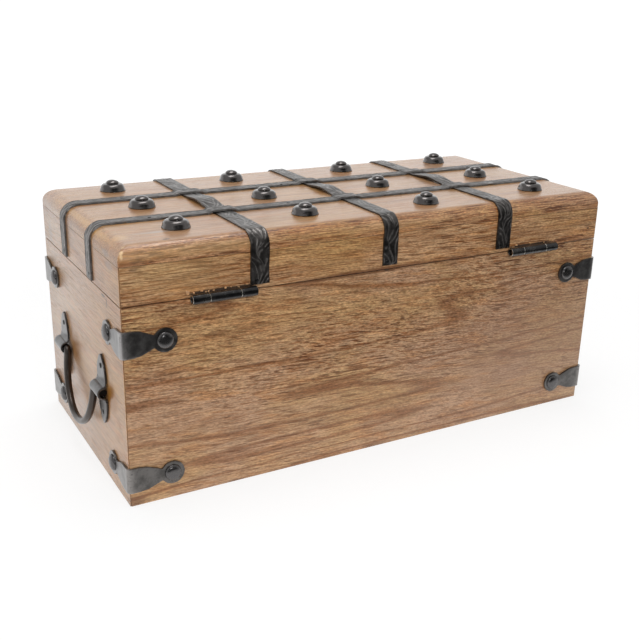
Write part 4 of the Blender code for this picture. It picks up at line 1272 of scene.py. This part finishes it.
# The hinges: two leaves let into the seam, rolled into three knuckles round a loose pin. The barrel
# stands outside the back.

barrel_radius = 0.003
bore_radius = 0.0015
mouth_radius = 0.0020
mouth_depth = 0.0009
outer_knuckle = 0.0105
knuckle_gap = 0.0003
leaf_thickness = 0.001
leaf_inset = 0.0001
leaf_overlap = 0.0003
pin_radius = 0.0012
pin_rim = 0.0003
pin_sides = 24
barrel_sides = 40
barrel_rim = 0.10
# The hinge iron's light colour is a bright glint painted on the knuckles' rims
hinge_iron = iron("hinge_iron", (0.020, 0.020, 0.022), (0.90, 0.86, 0.78), 0.11, (0.20, 0.32), "relief",
                  0.00005, 0.5)
# The pin's steel is given a dark colour: painted shade, as the pin lies inside the barrel
steel = iron("pin_steel", (0.03, 0.03, 0.032), (0.09, 0.09, 0.095), 0.3, (0.25, 0.42), bump=0.00005)


def knuckle(name, middle, length):
    """A tube along X, its outer rims rounded and painted with a bright glint, its mouths opened out."""
    rim = barrel_radius * barrel_rim
    half = length / 2
    rings = [
        (barrel_radius - rim, -half), (barrel_radius, -half + rim), (barrel_radius, half - rim),
        (barrel_radius - rim, half), (mouth_radius, half), (bore_radius, half - mouth_depth),
        (bore_radius, -half + mouth_depth), (mouth_radius, -half),
    ]
    start = (0, 0, -half)
    piece = begin("circle", vertices=barrel_sides, radius=rings[0][0], fill_type="NOTHING", location=start)
    piece = settle(piece, name)
    bpy.ops.object.mode_set(mode="EDIT")
    bpy.ops.mesh.select_all(action="SELECT")
    draw_up(rings + rings[:1])
    bpy.ops.mesh.remove_doubles(threshold=0.00001)
    bpy.ops.mesh.normals_make_consistent(inside=False)
    bpy.ops.object.mode_set(mode="OBJECT")
    # The outer rims are marked to take the light colour: a painted glint
    relief = piece.data.attributes.new("relief", "FLOAT", "POINT")
    for vertex in piece.data.vertices:
        rim_glint = abs(vertex.co.z) > half - rim / 2 and vertex.co.xy.length > mouth_radius + rim / 4
        relief.data[vertex.index].value = 1.0 if rim_glint else 0.0
    piece.matrix_world = Matrix.Translation(middle) @ Matrix.Rotation(radians(90), 4, "Y")
    return settle(piece, name)


for side in ("left", "right"):
    body_low, body_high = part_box(f"hinge_{side}_body_leaf")
    pin_low, pin_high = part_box(f"hinge_{side}_pin")
    axis = (pin_low + pin_high) / 2
    length = body_high.x - body_low.x
    inner_knuckle = length - 2 * (outer_knuckle + knuckle_gap)
    leaf_back = half_depth - leaf_inset
    tab_back = axis.y - (barrel_radius + bore_radius) / 2
    outer_middle = (length - outer_knuckle) / 2
    for body, name, way, middles, each in (
        ("chest", "body_leaf", -1, (-outer_middle, outer_middle), outer_knuckle),
        ("lid", "lid_leaf", 1, (0.0,), inner_knuckle),
    ):
        name = f"hinge_{side}_{name}"
        face = axis.z + way * knuckle_gap
        bottom, top = sorted((face, face + way * leaf_thickness))
        pieces = [block("leaf", (axis.x - length / 2, body_low.y, bottom),
                        (axis.x + length / 2, leaf_back, top))]
        for middle in middles:
            middle += axis.x
            half = each / 2 - knuckle_gap
            pieces.append(block("tab", (middle - half, leaf_back - leaf_overlap, bottom),
                                (middle + half, tab_back, top)))
            pieces.append(knuckle("knuckle", Vector((middle, axis.y, axis.z)), each))
        made = join(f"{name}_iron", *pieces)
        smooth(made, 40)
        hand_over(made, hinge_iron, body, "hinge_iron", name)
    half = (pin_high.x - pin_low.x) / 2
    rings = [(pin_radius - pin_rim, -half), (pin_radius, -half + pin_rim), (pin_radius, half - pin_rim),
             (pin_radius - pin_rim, half)]
    made = turned(f"hinge_{side}_rod", rings, pin_sides)
    made.matrix_world = Matrix.Translation(axis) @ Matrix.Rotation(radians(90), 4, "Y")
    settle(made, f"hinge_{side}_rod")
    smooth(made, 40)
    hand_over(made, steel, "chest", "hinge_iron", f"hinge_{side}_pin")


# The hasp on the front: a plate nailed to the lid, a slotted leaf on its pin, and a staple on the body.
# The edges of the sheet are filed round.

sheet_ease = 0.00018
hasp_pin_ease = 0.0001
hasp_iron = iron("hasp_iron", (0.055, 0.052, 0.053), (0.15, 0.143, 0.145), 0.5, (0.34, 0.52))
for node, body, ease in (
    ("hasp_plate", "lid", sheet_ease),
    ("hasp_leaf", "hasp", sheet_ease),
    ("hasp_pin", "lid", hasp_pin_ease),
    ("hasp_staple", "chest", sheet_ease),
):
    made = copy_of(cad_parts[node], f"{node}_iron")
    made.parent = None
    for key in list(made.keys()):
        if key.startswith("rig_"):
            del made[key]
    alone(made)
    pick(made, "VERT", lambda co: True)
    bpy.ops.mesh.remove_doubles(threshold=0.00001)
    bpy.ops.mesh.dissolve_limited(angle_limit=radians(1))
    bpy.ops.object.mode_set(mode="OBJECT")
    round_rim(made, ease, 40)
    smooth(made, 40)
    hand_over(made, hasp_iron, body, "hasp_iron", node)


# The strap nails: small cut heads that hold the straps to the lid, some worn down to dark dots, and the
# splinters that the chisel raised along the hinges' mortises.

nail_radius = 0.0012
nail_rise = 0.0004
nail_sides = 16
top_nails = (
    (0.0948, -0.0375), (0.0066, -0.0366), (-0.0859, 0.0697), (-0.0868, -0.0700), (0.0890, 0.0410),
    (0.0228, -0.0264), (-0.0610, -0.0275), (0.1400, 0.0281), (-0.1420, 0.0279), (0.1390, -0.0283),
    (-0.1440, -0.0277), (0.0450, 0.0277),
)
nail_sink = 0.0001
strap_face = strap_gap + strap_thickness - nail_sink
nails = []
for x, y in top_nails:
    place = Vector((x, y, total_height + strap_face))
    nails.append(dome("nail", nail_radius, nail_rise, place, Vector((0, 0, 1)), nail_sides))
for side in (-1, 1):
    for y, z in ((-0.0279, 0.1306), (0.0279, 0.1306)):
        place = Vector((side * (half_length + strap_face), y, z))
        nails.append(dome("nail", nail_radius, nail_rise, place, Vector((side, 0, 0)), nail_sides))
    for number, (low, high) in enumerate(cross_boxes):
        place = Vector(((low.x + high.x) / 2 + 0.0021 * side, side * (half_depth + strap_face), 0.1312))
        if side > 0 or number != 1:
            nails.append(dome("nail", nail_radius, nail_rise, place, Vector((0, side, 0)), nail_sides))
made = join("strap_nails", *nails)
smooth(made, 40)
made.data.materials.append(nail_iron)
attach(made, "lid")

splinter_places = 17
splinter_height = 0.1289
mortise_middle = 0.1166
mortise_length = 0.0415
least_drift = -0.12
splinter_cells = 900
splinter_jag = 0.7
big_splinter = (0.0016, 0.0010, 0.0020)
big_splinter_height = 0.1290
splinter_wood = wood("splinter_wood", False, (0.2, 0.6, 0.1), 0.3, 0.0, 0, (1.3, 1.35, 1.4, 1))
splinters = []
for side in (-1, 1):
    for number in range(splinter_places):
        drift = noise.noise(Vector((number * 5.37, side * 2.9, 0.4)))
        lean = noise.noise(Vector((number * 3.11, side * 4.7, 8.4)))
        big = number == splinter_places - 1 and side > 0
        if drift < least_drift and not big:
            continue
        along = side * mortise_middle + (number / (splinter_places - 1) - 0.5) * mortise_length
        middle = Vector((along + 0.0018 * drift, half_depth + 0.0001, splinter_height + 0.0014 * lean))
        size = Vector((0.0008 + 0.0009 * abs(lean), 0.0008, 0.0005 + 0.0006 * abs(drift)))
        if big:
            middle.z = big_splinter_height
            size = Vector(big_splinter)
        chip = block("chip", middle - size / 2, middle + size / 2)
        for vertex in chip.data.vertices:
            jitter = noise.noise_vector(vertex.co * splinter_cells + Vector((number, side, 0)))
            jitter.y = max(-0.3, min(0.3, jitter.y))
            vertex.co += jitter * size * splinter_jag
        splinters.append(chip)
made = join("mortise_splinters", *splinters)
smooth(made, 25)
made.data.materials.append(splinter_wood)
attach(made, "lid")
